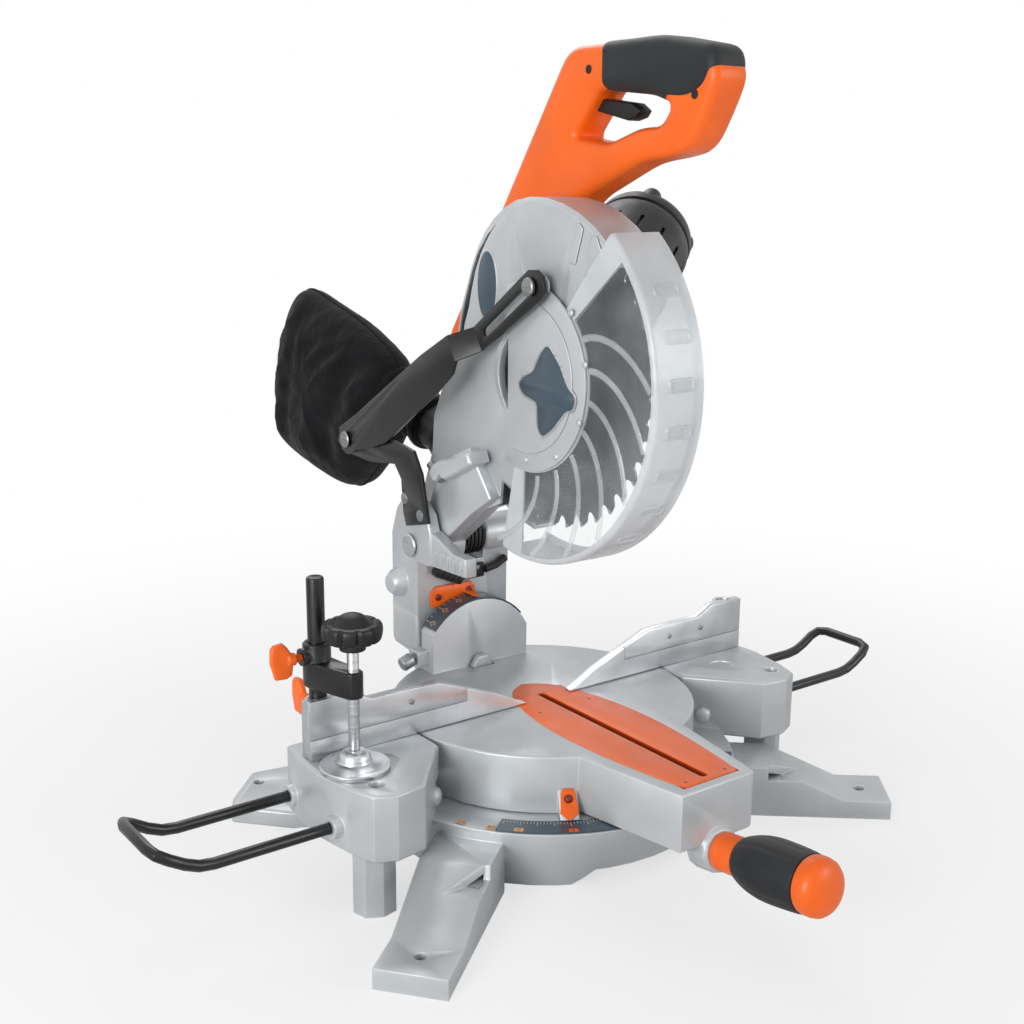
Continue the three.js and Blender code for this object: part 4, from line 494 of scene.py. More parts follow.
def tube(path, radius, count=16):
    """A round bar through points."""
    points = [Vector(p) for p in path]
    last = len(points) - 1
    ways = [(points[min(i + 1, last)] - points[max(i - 1, 0)]).normalized() for i in range(last + 1)]
    side = ways[0].orthogonal().normalized()
    rings = []
    for point, way in zip(points, ways):
        side = (side - way * side.dot(way)).normalized()
        other = way.cross(side)
        rings.append([tuple(point + side * a * radius + other * b * radius) for a, b in circle(1, count)])
    return skin(rings)


def smooth_path(path, each=8, closed=False):
    """Points on a smooth curve through the given ones."""
    points = [Vector(p) for p in path]
    count = len(points)
    made = []
    for i in range(count if closed else count - 1):
        near = [i + k for k in (-1, 0, 1, 2)]
        near = [k % count if closed else min(max(k, 0), count - 1) for k in near]
        a, b, c, d = (points[k] for k in near)
        for step in range(each):
            t = step / each
            square, cube = 2 * a - 5 * b + 4 * c - d, 3 * b - a - 3 * c + d
            made.append(0.5 * (2 * b + (c - a) * t + square * t * t + cube * t ** 3))
    if not closed:
        made.append(points[-1])
    return [tuple(p) for p in made]


def smooth_profile(profile):
    return [profile[0], *smooth_path(profile[1:-1], 3), profile[-1]]


def around_blade(radius, degrees):
    turn = math.radians(degrees)
    return BLADE.y - radius * math.cos(turn), BLADE.z + radius * math.sin(turn)


def round_blade(section, start, end, steps):
    """A section of (radius, x) carried round the blade's axis."""
    rings = []
    for i in range(steps + 1):
        degrees = start + (end - start) * i / steps
        rings.append([(x, *around_blade(r, degrees)) for r, x in section])
    return skin(rings)


SINK = -0.2


def dome(radius, height, steps=6, foot=0.0):
    """The profile of a round head that stands on z = 0."""
    curve = [(radius * cosine, foot + (height - foot) * sine) for sine, cosine in quarter(steps)[1:]]
    return [(WELD, SINK), (radius, SINK), (radius, foot), *curve]


def carve(piece, cutters):
    """Cuts the cutters out of a piece and removes them."""
    for cutter in cutters:
        step = piece.modifiers.new("cut", "BOOLEAN")
        step.object = cutter
        step.operation = "DIFFERENCE"
        step.solver = "EXACT"
    graph = bpy.context.evaluated_depsgraph_get()
    mesh = bpy.data.meshes.new_from_object(piece.evaluated_get(graph))
    piece.modifiers.clear()
    piece.data = mesh
    for cutter in cutters:
        bpy.data.objects.remove(cutter)
    shade(piece)


# Round screw heads with a cross recess, in shares of the head's radius.
HEAD = Sizes(rise=0.55, foot=0.15, arm=0.58, wide=0.13, deep=0.3, above=2)
HEAD_STEPS = 5
HEAD_SIDES = 28


def screw(name, place, direction, radius, body, material):
    where = along(place, direction)
    profile = dome(radius, radius * HEAD.rise, HEAD_STEPS, radius * HEAD.foot)
    head = build(name, lathe(profile, HEAD_SIDES), material, body, where)
    arm, wide = radius * HEAD.arm, radius * HEAD.wide
    cutters = []
    for half_x, half_y in ((arm, wide), (wide, arm)):
        plan = oblong(-half_x, half_x, -half_y, half_y)
        cross = plate("z", plan, radius * HEAD.deep, radius * HEAD.above)
        cutters.append(solid("cutter", cross, material, where))
    carve(head, cutters)


# The packed solids keep their shapes: their corners are merged, eased and shaded round.
FLAT_ANGLE = math.radians(0.4)
EASED_ANGLE = math.radians(33)


def easing_group(name, fill):
    """A geometry group; fill takes its nodes and what comes in, and gives what goes out."""
    tree = bpy.data.node_groups.new(name, "GeometryNodeTree")
    for way in ("INPUT", "OUTPUT"):
        tree.interface.new_socket("Geometry", in_out=way, socket_type="NodeSocketGeometry")
    group = Nodes(tree)
    came = group.node("NodeGroupInput").outputs[0]
    group.node("NodeGroupOutput", {0: fill(group, came)})
    return tree


def merge_corners(group, came):
    plain = group.node("GeometryNodeRemoveAttribute", {0: came, "Name": "custom_normal"}).outputs[0]
    return group.node("GeometryNodeMergeByDistance", {"Geometry": plain, "Distance": WELD * MM}).outputs[0]


def shade_round(group, came):
    angle = group.node("GeometryNodeInputMeshEdgeAngle").outputs[0]
    given = {0: angle, 1: SOFT_ANGLE}
    soft = group.node("FunctionNodeCompare", given, data_type="FLOAT", operation="LESS_THAN").outputs[0]
    faces = group.node("GeometryNodeSetShadeSmooth", {"Geometry": came}, domain="FACE").outputs[0]
    given = {"Geometry": faces, "Shade Smooth": soft}
    return group.node("GeometryNodeSetShadeSmooth", given, domain="EDGE").outputs[0]


MERGED = easing_group("merged_corners", merge_corners)
ROUND_SHADED = easing_group("round_shading", shade_round)


def carried(name, material, ease):
    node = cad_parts[name]
    node.data.materials.clear()
    node.data.materials.append(material)
    node.modifiers.new("merge", "NODES").node_group = MERGED
    flat = node.modifiers.new("flat", "DECIMATE")
    flat.decimate_type = "DISSOLVE"
    flat.angle_limit = FLAT_ANGLE
    if ease:
        soft = node.modifiers.new("ease", "BEVEL")
        soft.width = ease * MM
        soft.segments = 2
        soft.limit_method = "ANGLE"
        soft.angle_limit = EASED_ANGLE
        soft.use_clamp_overlap = True
    node.modifiers.new("shade", "NODES").node_group = ROUND_SHADED


CARRIED = [
    (PAINT, 1.0, ("base_casting", "turntable", "tilt_arm", "upper_guard", "gear_housing")),
    (MILLED, 0.6, ("fence_left", "fence_right", "fence_plate_left", "fence_plate_right")),
    (PAINT, 0.5, ("guard_hub_plate", "bevel_pivot_bolt")),
    (DIAL, 0.0, ("mitre_scale", "bevel_scale")),
    (ORANGE, 0.4, ("mitre_pointer", "bevel_pointer", "arm_wing_screw", "post_wing_screw")),
    (COAT, 0.4, (
        "link_bracket", "link_bar", "clamp_post", "clamp_arm", "wire_support_left", "wire_support_right",
    )),
    (BLACK, 0.5, ("cord_clamp", "bevel_lock_lever", "head_lock_pin", "dust_port", "trigger")),
    (RUBBER, 0.0, ("cord_boot", "head_lead")),
    (BOLT, 0.3, (
        "mitre_pivot_bolt", "bevel_stop_screw", "lock_rod", "link_bracket_bolt_1", "link_bracket_bolt_2",
        "depth_stop_screw", "arbor_shaft", "inner_flange", "outer_flange", "arbor_bolt", "link_rivet",
        "link_pin",
    )),
    (RED, 0.3, ("mitre_pointer_screw",)),
    (STEEL, 0.3, ("hinge_pin", "clamp_rod")),
]
for carried_material, carried_ease, carried_names in CARRIED:
    for carried_name in carried_names:
        carried(carried_name, carried_material, carried_ease)

# The kerf board: a leaf-shaped insert with a round-ended slot and a skirt under the slot's edges.
BOARD = Sizes(top=105.3, bottom=104.2, ease=0.25, skirt=93, wall=1.8)
BOARD_SLOT = Sizes(half=3.5, front=-203, back=4)
BOARD_SIDE = [
    (27, -209.5), (31.5, -190), (38, -150), (42, -110), (42.5, -75), (40, -45), (35, -18), (27, 6), (16, 22),
    (0, 31),
]


def make_kerf_board():
    side = smooth_path(BOARD_SIDE, 4)
    plan = side + [(-x, y) for x, y in reversed(side[:-1])]
    half = BOARD_SLOT.half
    slot = rounded(oblong(-half, half, BOARD_SLOT.front, BOARD_SLOT.back), half, 5)
    leaf = plate("z", plan, BOARD.bottom, BOARD.top, BOARD.ease, 2, [slot])
    board = build("kerf_insert", leaf, ORANGE, "turntable")
    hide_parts("kerf_board")
    skirt = plate("z", inset(slot, -BOARD.wall), BOARD.skirt, BOARD.bottom, holes=[slot])
    # The skirt takes the darker orange, a painted shade in the slot.
    build("kerf_skirt", skirt, KERF_SHADE, "turntable")


# Fillers inside the base: pocket floors in the front feet and hollow caps on the rod guides.
FOOT = Sizes(x=146, y=-93, toward_x=0.773, toward_y=-0.634)
POCKET = Sizes(start=12, end=46, half=22, low=27, high=32.8)
GUIDE_CAP = Sizes(x=146.2, y=-50, z=69, toward_x=-0.738, toward_y=-0.675)
GUIDE_CAP_OUTSIDE = Sizes(radius=8, height=6.2, foot=0.6)
GUIDE_CAP_INSIDE = Sizes(radius=6.7, height=5.2, foot=0.6)
GUIDE_CAP_BELOW = -2
GUIDE_CAP_SIDES = 32


def make_base_fillers():
    for word, side in (("left", -1), ("right", 1)):
        way_x, way_y = side * FOOT.toward_x, FOOT.toward_y
        across_x, across_y = FOOT.toward_y, -side * FOOT.toward_x
        plan = [
            (side * FOOT.x + way_x * a + across_x * b, FOOT.y + way_y * a + across_y * b)
            for a, b in oblong(POCKET.start, POCKET.end, -POCKET.half, POCKET.half)
        ]
        build(f"foot_pocket_{word}", plate("z", plan, POCKET.low, POCKET.high), PAINT, "base")
        where = along(
            (side * GUIDE_CAP.x, GUIDE_CAP.y, GUIDE_CAP.z),
            (side * GUIDE_CAP.toward_x, GUIDE_CAP.toward_y, 0),
        )
        outside = lathe(dome(**vars(GUIDE_CAP_OUTSIDE)), GUIDE_CAP_SIDES)
        cap = build(f"guide_cap_{word}", outside, PAINT, "base", where)
        hollow = dome(**vars(GUIDE_CAP_INSIDE))
        hollow[:2] = [(WELD, GUIDE_CAP_BELOW), (GUIDE_CAP_INSIDE.radius, GUIDE_CAP_BELOW)]
        carve(cap, [solid("cutter", lathe(hollow, GUIDE_CAP_SIDES), PAINT, where)])


make_kerf_board()
make_base_fillers()

# The saw blade: hooked teeth with round gullets and brazed tips, in shares of the pitch and the radius.
BLADE_TOOTH = [
    (0.0, 1.0), (0.2, 0.99), (0.4, 0.978), (0.5, 0.958), (0.57, 0.937), (0.66, 0.924), (0.78, 0.92),
    (0.9, 0.927), (0.98, 0.942), (1.015, 0.96),
]
TIP_SHARES = [(0.0, 1.0), (0.12, 0.996), (0.13, 0.972), (0.022, 0.966)]
BLADE_BORE = 12.7
PLATE_SHARE = 0.8


def blade_point(share, tooth, radius_share):
    turn = -(tooth + share) * FULL_TURN / BLADE.teeth
    radius = BLADE.radius * radius_share
    return BLADE.y + radius * math.cos(turn), BLADE.z + radius * math.sin(turn)


def make_blade():
    teeth = range(BLADE.teeth)
    half = BLADE.half
    plan = [blade_point(s, tooth, r) for tooth in teeth for s, r in BLADE_TOOTH]
    bore = circle(BLADE_BORE, 48, (BLADE.y, BLADE.z))
    disc = plate("x", plan, -half * PLATE_SHARE, half * PLATE_SHARE, holes=[bore])
    disc = build("blade_disc", disc, SAW, "blade")
    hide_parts("blade")
    tips = [plate("x", [blade_point(s, tooth, r) for s, r in TIP_SHARES], -half, half) for tooth in teeth]
    build("blade_tips", together(tips), STEEL, "blade")


make_blade()

# The clear swinging guard: frosted rim, hub and arms, a clear window and its ribs.
COVER = Sizes(left=-27.8, wall=1.6, outer=154.2, rim=2.6, right=19.6, lip=2.2, lip_inner=146)
COVER_EDGE = Sizes(corner=4, fillet=1.5, hub=50)
COVER_SPAN = Sizes(start=-102, end=50)
WINDOW = Sizes(inner=78, outer=149, start=-92, end=41, sink=0.4, wall_share=0.62)
RIBS = Sizes(count=7, inner=80, outer=148, lean=26, curve=1.4, half=2.8, rise=1.5, sink=0.5)
RIB_TURN = Sizes(first=9, short=8, back=4)
RIB_STEPS = 12
BLISTER = Sizes(count=8, first=-62, pitch=13.2, half=3.3, x0=-15, x1=9, round=2.2, wide=1.35)
BLISTER_SKIN = [(0.9, -0.3), (0.6, 0.6), (0.1, 1.3), (-0.7, 1.3), (-1.1, 0.2)]


def cover_section():
    """The rim's cross-section: its round front edge, its band and the lip at the back."""
    left, outer, right = COVER.left, COVER.outer, COVER.right
    inside, back, wall = outer - COVER.rim, right - COVER.lip, left + COVER.wall
    corner, fillet = COVER_EDGE.corner, COVER_EDGE.fillet
    edge = [(outer - corner + corner * sine, left + corner - corner * cosine) for sine, cosine in quarter(6)]
    return [
        (WINDOW.outer, left), *edge, (outer, right), (COVER.lip_inner, right), (COVER.lip_inner, back),
        (inside, back), (inside, wall + fillet), (inside - fillet, wall), (WINDOW.outer, wall),
    ]


def rib(start):
    left = COVER.left + RIBS.sink
    path = []
    for step in range(RIB_STEPS + 1):
        share = step / RIB_STEPS
        radius = RIBS.inner + (RIBS.outer - RIBS.inner) * share
        degrees = start - RIBS.lean * (share ** RIBS.curve) + RIB_TURN.back
        path.append((left, *around_blade(radius, degrees)))
    points, faces = tube(path, RIBS.half, 10)
    flat = [
        (left - abs(x - COVER.left - RIBS.sink) * RIBS.rise / RIBS.half, y, z) for x, y, z in points
    ]
    return flat, faces


def make_swing_guard():
    left, wall = COVER.left, COVER.wall
    start, end = WINDOW.start, WINDOW.end

    def sheet(name, inner, outer, front, back, span, steps, material):
        section = [(inner, front), (outer, front), (outer, back), (inner, back)]
        build(name, round_blade(section, *span, steps), material, "guard")

    rim = round_blade(cover_section(), COVER_SPAN.start, COVER_SPAN.end, 76)
    rim = build("swing_guard_rim", rim, FROSTED, "guard")
    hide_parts("lower_guard")
    front, back = left + WINDOW.sink, left + wall * WINDOW.wall_share
    sheet("swing_guard_window", WINDOW.inner, WINDOW.outer, front, back, (start, end), 62, CLEAR)
    for word, span in (("lower", (COVER_SPAN.start, start)), ("upper", (end, COVER_SPAN.end))):
        name = f"swing_guard_{word}_arm"
        sheet(name, COVER_EDGE.hub, WINDOW.outer, left, left + wall, span, 10, FROSTED)
    sheet("swing_guard_hub", COVER_EDGE.hub, WINDOW.inner, left, left + wall, (start, end), 40, FROSTED)
    turns = [
        start + RIB_TURN.first + (end - start - RIB_TURN.short) * i / RIBS.count
        for i in range(RIBS.count)
    ]
    # Painted highlight: the ribs' pale, half-opaque tint stands in for their glints.
    build("swing_guard_ribs", together(rib(turn) for turn in turns), RIB_HIGHLIGHT, "guard")


def blister(middle):
    """A raised round-cornered window on the rim, at one turn about the blade."""
    plan = rounded(oblong(-BLISTER.half, BLISTER.half, BLISTER.x0, BLISTER.x1), BLISTER.round)
    rings = []
    for grow, rise in BLISTER_SKIN:
        ring = []
        for a, x in inset(plan, -grow):
            degrees = middle + math.degrees(a / COVER.outer) * BLISTER.wide
            ring.append((x, *around_blade(COVER.outer + rise, degrees)))
        rings.append(ring)
    return skin(rings)


make_swing_guard()
blisters = together(blister(BLISTER.first + BLISTER.pitch * i) for i in range(BLISTER.count))
build("swing_guard_blisters", blisters, RIB_HIGHLIGHT, "guard")

# The plate on the guard's hub: a raised inner panel cut off straight at its back, and rivets.
PANEL = Sizes(x=-30.4, radius=62, flat=22, rise=0.9, sink=0.3, ease=0.8)
HUB_RIVETS = [(-67.0, 444.6), (-85.1, 406.9), (-79.4, 361.3), (-51.6, 329.7), (-12.2, 320.4)]
RIVET = Sizes(radius=3.1, height=1.9)
LEAST_SIDE = 0.5


def make_hub_panel():
    disc = [(BLADE.y + min(u, PANEL.flat), BLADE.z + v) for u, v in circle(PANEL.radius, 96)]
    plan = [p for i, p in enumerate(disc) if (Vector(p) - Vector(disc[i - 1])).length > LEAST_SIDE]
    panel = plate("x", plan, PANEL.x - PANEL.rise, PANEL.x + PANEL.sink, PANEL.ease, 3)
    build("hub_panel", panel, PAINT, "guard")
    for i, (y, z) in enumerate(HUB_RIVETS):
        where = along((PANEL.x, y, z), (-1, 0, 0))
        build(f"hub_rivet_{i + 1}", lathe(dome(**vars(RIVET)), 24), PAINT, "guard", where)


make_hub_panel()

# Bare plates with raised rims: an oval on the upper guard and a four-pointed one on the hub.
OVAL = Sizes(x=-24.8, y=51, z=457, half_y=13, half_z=28, rim=1.6)
SHIELD = Sizes(x0=-3, x1=-76, y0=343, y1=418)
SHIELD_SHARES = [
    (0.5, 1), (0.72, 0.8), (0.86, 0.58), (1, 0.5), (0.96, 0.36), (0.84, 0.34), (0.62, 0.12), (0.44, 0),
    (0.36, 0.08), (0.34, 0.36), (0.08, 0.42), (0, 0.52), (0.1, 0.62), (0.26, 0.68), (0.38, 0.88),
]
SHIELD_EDGE = Sizes(round=5, rim=2)
# Each layer's bottom and top, from the surface it sits on, and its round edge.
OVAL_RIM = (-0.7, 0.5, 0.4)
OVAL_FACE = (-1.0, -0.6, 0.2)
SHIELD_RIM = (-0.4, 0.2, 0.2)
SHIELD_FACE = (-0.65, -0.35, 0.15)


def layer(plan, x, depths):
    low, high, ease = depths
    return plate("x", plan, x + low, x + high, ease, 2)


def make_badges():
    oval = [(OVAL.y + a * OVAL.half_y, OVAL.z + b * OVAL.half_z) for a, b in circle(1, 56)]
    build("oval_plate_rim", layer(inset(oval, -OVAL.rim), OVAL.x, OVAL_RIM), PAINT, "head")
    build("oval_plate", layer(oval, OVAL.x, OVAL_FACE), DIAL, "head")
    shield = rounded(spread(SHIELD_SHARES, **vars(SHIELD)), SHIELD_EDGE.round)
    front = PANEL.x - PANEL.rise
    rim = inset(shield, -SHIELD_EDGE.rim)
    build("hub_plate_badge_rim", layer(rim, front, SHIELD_RIM), STEEL, "guard")
    build("hub_plate_badge", layer(shield, front, SHIELD_FACE), DIAL, "guard")


make_badges()

# Raised pads on the upper guard's side.
GUARD_PADS = [
    [(-56, 482), (-65, 480), (-74, 508), (-68, 513)],
    [(-76, 472), (-92, 470), (-98, 488), (-90, 503), (-84, 503), (-79, 488)],
]
GUARD_PAD = Sizes(round=2.5, left=-26, right=-24.5, ease=1)
for pad_number, pad_corners in enumerate(GUARD_PADS):
    pad_plan = rounded(pad_corners, GUARD_PAD.round, 3)
    pad = plate("x", pad_plan, GUARD_PAD.left, GUARD_PAD.right, GUARD_PAD.ease, 3)
    build(f"guard_pad_{pad_number + 1}", pad, PAINT, "head")

# The handle: a moulding with round edges and a finger gap, its soft grip and its screw wells.
HANDLE = Sizes(x0=-162, x1=185, y0=385, y1=646)
HANDLE_SHARES = [
    (0.38, 1), (0.173, 0.992), (0.029, 0.958), (0, 0.893), (0.023, 0.82), (0.081, 0.69), (0.161, 0.67),
    (0.207, 0.663), (0.256, 0.651), (0.447, 0.544), (0.597, 0.326), (0.712, 0.153), (0.841, 0), (1, 0.038),
    (0.493, 1),
]
OPENING_SHARES = [
    (0.403, 0.828), (0.467, 0.732), (0.349, 0.713), (0.245, 0.755), (0.173, 0.759), (0.141, 0.816),
    (0.207, 0.847), (0.38, 0.868),
]
GRIP_SHARES = [
    (0.38, 1.006), (0.277, 1.006), (0.222, 1.008), (0.173, 1.006), (0.02, 0.969), (0.005, 0.908),
    (0.03, 0.843), (0.085, 0.815), (0.145, 0.818), (0.207, 0.845), (0.38, 0.867),
]
HANDLE_WALLS = Sizes(left=20.6, right=56, ease=8, round=16, opening_round=8)
GRIP_WALLS = Sizes(left=19.9, right=56.7, ease=9, round=9)
HANDLE_SCREWS = [(-20, 627), (-87, 616), (-140, 604)]
WELL_BODY = [(0, -3), (3.4, -3), (3.4, 0.5), (2.7, 0.8), (2.4, 0.2), (0, 0)]


def make_handle():
    left, right = HANDLE_WALLS.left, HANDLE_WALLS.right
    plan = rounded(spread(HANDLE_SHARES, **vars(HANDLE)), HANDLE_WALLS.round, 5)
    opening = rounded(spread(OPENING_SHARES, **vars(HANDLE)), HANDLE_WALLS.opening_round)
    shell = plate("x", plan, left, right, HANDLE_WALLS.ease, 5, [opening])
    shell = build("handle_shell", shell, ORANGE, "head")
    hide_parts("handle")
    grip = rounded(spread(GRIP_SHARES, **vars(HANDLE)), GRIP_WALLS.round)
    grip = plate("x", grip, GRIP_WALLS.left, GRIP_WALLS.right, GRIP_WALLS.ease, 5)
    soft = build("handle_soft_grip", grip, RUBBER, "head")
    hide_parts("handle_grip")
    for i, (y, z) in enumerate(HANDLE_SCREWS):
        for word, x, way in (("left", left, -1), ("right", right, 1)):
            where = along((x, y, z), (way, 0, 0))
            build(f"handle_screw_well_{word}_{i + 1}", lathe(WELL_BODY, 24), BLACK, "head", where)


make_handle()

# The motor: its can with a seam and air slots, and its end cap with four screw posts.
MOTOR_CAN = [
    (0, 40.3), (43, 40.3), (45, 42), (46, 48), (47.4, 52), (48, 60), (48, 100), (47.2, 101), (47.2, 103),
    (48, 104), (48, 150), (47.6, 160), (46.4, 165), (44, 168), (0, 168),
]
MOTOR_CAP = [
    (0, 168.3), (44, 168.3), (46, 170), (46, 176), (44.6, 181), (41, 184.6), (36, 186), (22, 186),
    (20, 184.6), (0, 184.6),
]
MOTOR_SIDES = 96
AIR_SLOT = Sizes(count=14, start=112, end=142, half=1.6, inside=45, outside=52)
CAP_POST = Sizes(count=4, reach=36.8, foot=172, top=191, screw=3.2)
CAP_POST_BODY = [(0, 0), (9, 0), (9, 14), (8.2, 17), (6, 18.6), (0, 19)]


def make_motor():
    where = along(MOTOR.origin, MOTOR.toward)
    can = build("motor_can", lathe(MOTOR_CAN, MOTOR_SIDES), BLACK, "head", where)
    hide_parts("motor_housing")
    half = AIR_SLOT.half
    plan = rounded(oblong(-half, half, AIR_SLOT.start, AIR_SLOT.end), half, 3)
    cut = plate("x", plan, AIR_SLOT.inside, AIR_SLOT.outside)
    cutters = []
    for i in range(AIR_SLOT.count):
        turn = Matrix.Rotation(i * FULL_TURN / AIR_SLOT.count, 4, "Z")
        cutters.append(solid("cutter", cut, BLACK, where @ turn))
    carve(can, cutters)
    cap = build("motor_cap", lathe(MOTOR_CAP, MOTOR_SIDES), BLACK, "head", where)
    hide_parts("motor_end_cap")
    for i in range(CAP_POST.count):
        turn = (i + 0.5) * FULL_TURN / CAP_POST.count
        x, y = CAP_POST.reach * math.cos(turn), CAP_POST.reach * math.sin(turn)
        points, faces = lathe(CAP_POST_BODY, 32)
        points = [tuple(Vector(p) + Vector((x, y, CAP_POST.foot))) for p in points]
        build(f"motor_cap_bump_{i + 1}", (points, faces), BLACK, "head", where)
        top = where @ Vector((x, y, CAP_POST.top))
        screw(f"motor_cap_screw_{i + 1}", top, MOTOR.toward, CAP_POST.screw, "head", BOLT)


make_motor()

# The turned handle that locks the table: collar, end cap and a grip with shallow flutes.
GRIP_BODY = [
    (0, 22.3), (15, 22.3), (16.8, 24), (19.4, 30), (21.8, 38), (23.4, 47), (24, 56), (23.9, 66), (23.4, 76),
    (22.8, 83), (22, 87.5), (0, 88),
]
CAP_BODY = [
    (0, 88.3), (21.6, 88.3), (22, 90), (22, 95), (21.2, 99), (19, 102), (15.4, 104.2), (10.5, 105.6),
    (5, 106.4), (0, 106.6),
]
COLLAR_BODY = [
    (0, 0.3), (13.5, 0.3), (14.6, 0.9), (15, 2.2), (15, 7), (14.4, 7.6), (14.4, 8.6), (15, 9.2), (15, 20),
    (14.6, 21.3), (13.5, 22), (0, 22),
]
FLUTES = Sizes(count=12, depth=0.55, radius=24, least_radius=16, start=30, end=82)


def make_lock_handle():
    where = along((0, LOCK.y, LOCK.z), (0, -1, LOCK.rise))
    collar = build("lock_handle_collar", lathe(COLLAR_BODY, 64), ORANGE, "lock_handle", where)
    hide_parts("lock_collar")
    cap = build("lock_handle_cap", lathe(CAP_BODY, 72), ORANGE, "lock_handle", where)
    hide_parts("lock_cap")
    points, faces = lathe(smooth_profile(GRIP_BODY), 96)
    fluted = []
    for x, y, z in points:
        share = 1
        if math.hypot(x, y) >= FLUTES.least_radius and FLUTES.start <= z <= FLUTES.end:
            dip = max(0.0, math.cos(FLUTES.count * math.atan2(y, x))) ** 3
            share = 1 - FLUTES.depth / FLUTES.radius * dip
        fluted.append((x * share, y * share, z))
    grip = build("lock_handle_grip", (fluted, faces), RUBBER, "lock_handle", where)
    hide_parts("lock_grip")


make_lock_handle()

# The hold-down clamp: its lobed knob and its round pad.
CLAMP = Sizes(x=-210, y=-37.5)
KNOB = Sizes(lobes=10, foot=201.3, height=28.7, sides=120, dip=0.1, least_radius=17, start=5)
KNOB_BODY = [
    (0, 0), (9.6, 0), (10, 0.6), (10, 4.6), (12, 5.7), (19, 6.6), (21.6, 8), (22.6, 10.5), (23, 14),
    (22.6, 17.5), (21, 19.2), (17.5, 19.6), (16.2, 18.8), (14.5, 19.4), (11, 22.8), (8, 24.8), (4.5, 26),
    (0, 26.6),
]
PAD_BODY = [
    (0, 105.3), (27, 105.3), (27.2, 106), (27.2, 108.4), (26.4, 109.4), (23, 110), (17, 110.6), (13.4, 112),
    (12.4, 114), (12, 116.4), (10.4, 118.8), (7.6, 120.4), (5, 121), (0, 121),
]


def make_clamp():
    drawn = KNOB_BODY[-1][1]
    rings = []
    for radius, height in smooth_profile(KNOB_BODY):
        deep = KNOB.dip if radius > KNOB.least_radius and height > KNOB.start else 0.0
        z = KNOB.foot + height * KNOB.height / drawn
        ring = []
        for x, y in circle(1, KNOB.sides):
            dip = max(0.0, math.cos(KNOB.lobes * math.atan2(y, x))) ** 3
            size = max(radius, WELD) * (1 - deep * dip)
            ring.append((CLAMP.x + x * size, CLAMP.y + y * size, z))
        rings.append(ring)
    knob = build("clamp_star_knob", skin(rings), BLACK, "clamp_screw")
    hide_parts("clamp_knob")
    where = Matrix.Translation((CLAMP.x, CLAMP.y, 0))
    pad = build("clamp_foot", lathe(PAD_BODY, 72), STEEL, "clamp_pad", where)
    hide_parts("clamp_pad")


make_clamp()

# The return spring on the hinge: a coiled wire with a leg at each end.
SPRING = Sizes(radius=15.4, wire=1.8, left=-2.8, pitch=4.3, turns=5, each=28, leg=8)
LEG_STEPS = (0.33, 0.66, 1)


def make_spring():
    path = []
    for i in range(SPRING.turns * SPRING.each + 1):
        turn = i * FULL_TURN / SPRING.each
        y = HINGE.y - SPRING.radius * math.cos(turn)
        z = HINGE.z + SPRING.radius * math.sin(turn)
        path.append((SPRING.left + SPRING.pitch * i / SPRING.each, y, z))
    (x0, y0, z0), (x1, y1, z1) = path[0], path[-1]
    first_leg = [(x0, y0, z0 - SPRING.leg * s) for s in reversed(LEG_STEPS)]
    last_leg = [(x1, y1, z1 + SPRING.leg * s) for s in LEG_STEPS]
    wire = tube(first_leg + path + last_leg, SPRING.wire, 14)
    coil = build("torsion_coil", wire, COAT, "tilt_arm")
    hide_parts("torsion_spring")


make_spring()

# The dust bag: a sewn cloth shell that hangs from the port and sags.
BAG = Sizes(x0=216, x1=453, y0=235, y1=427)
BAG_SHARES = [
    (0.02, 0.56), (0.09, 0.72), (0.33, 0.86), (0.6, 0.95), (0.8, 1), (0.92, 0.9), (0.98, 0.7), (1, 0.4),
    (0.99, 0.17), (0.88, 0.08), (0.65, 0.03), (0.4, 0), (0.26, 0.11), (0.13, 0.27),
]
BAG_LAYERS = 22
BAG_SHELL = Sizes(half=34, round=0.62, flat=0.75, reach=0.985, edge=6, sag=-2.5, apart=30)
BAG_TOP = Sizes(thinner=8, over=95)
BAG_SEED = Vector((3.1, 7.7, 1.3))
BAG_PLACE = Sizes(y=0.8, z=0.3, scale=0.014)
BAG_FOLD = Sizes(y=2.6, z=0.7, height=7.5)
BAG_CREASE = Sizes(scale=2.1, height=5)
BAG_WRINKLE = Sizes(scale=4.7, height=2.2)
BAG_SOFT_ANGLE = math.radians(80)
SEAM_RADIUS = 1.5
NECK = Sizes(start=70, long=62, radius=22.6, pleat=2.2, pleats=15, flare=10, wall=1.6, steps=32)
BAND = Sizes(radius=25.2, at=77, half_thick=2.2, half_wide=3.4, steps=12)
NECK_SIDES = 64


def bag_height(y, z):
    """How far a fold lifts or sinks the cloth."""
    place = Vector((y * BAG_PLACE.y + z * BAG_PLACE.z, z, 0)) * BAG_PLACE.scale + BAG_SEED
    fold = noise.noise(Vector((place.x * BAG_FOLD.y, place.y * BAG_FOLD.z, 0)) + BAG_SEED)
    crease = 1 - 2 * abs(noise.noise(place * BAG_CREASE.scale))
    wrinkle = 1 - 2 * abs(noise.noise(place * BAG_WRINKLE.scale + BAG_SEED))
    return BAG_FOLD.height * fold + BAG_CREASE.height * crease + BAG_WRINKLE.height * wrinkle


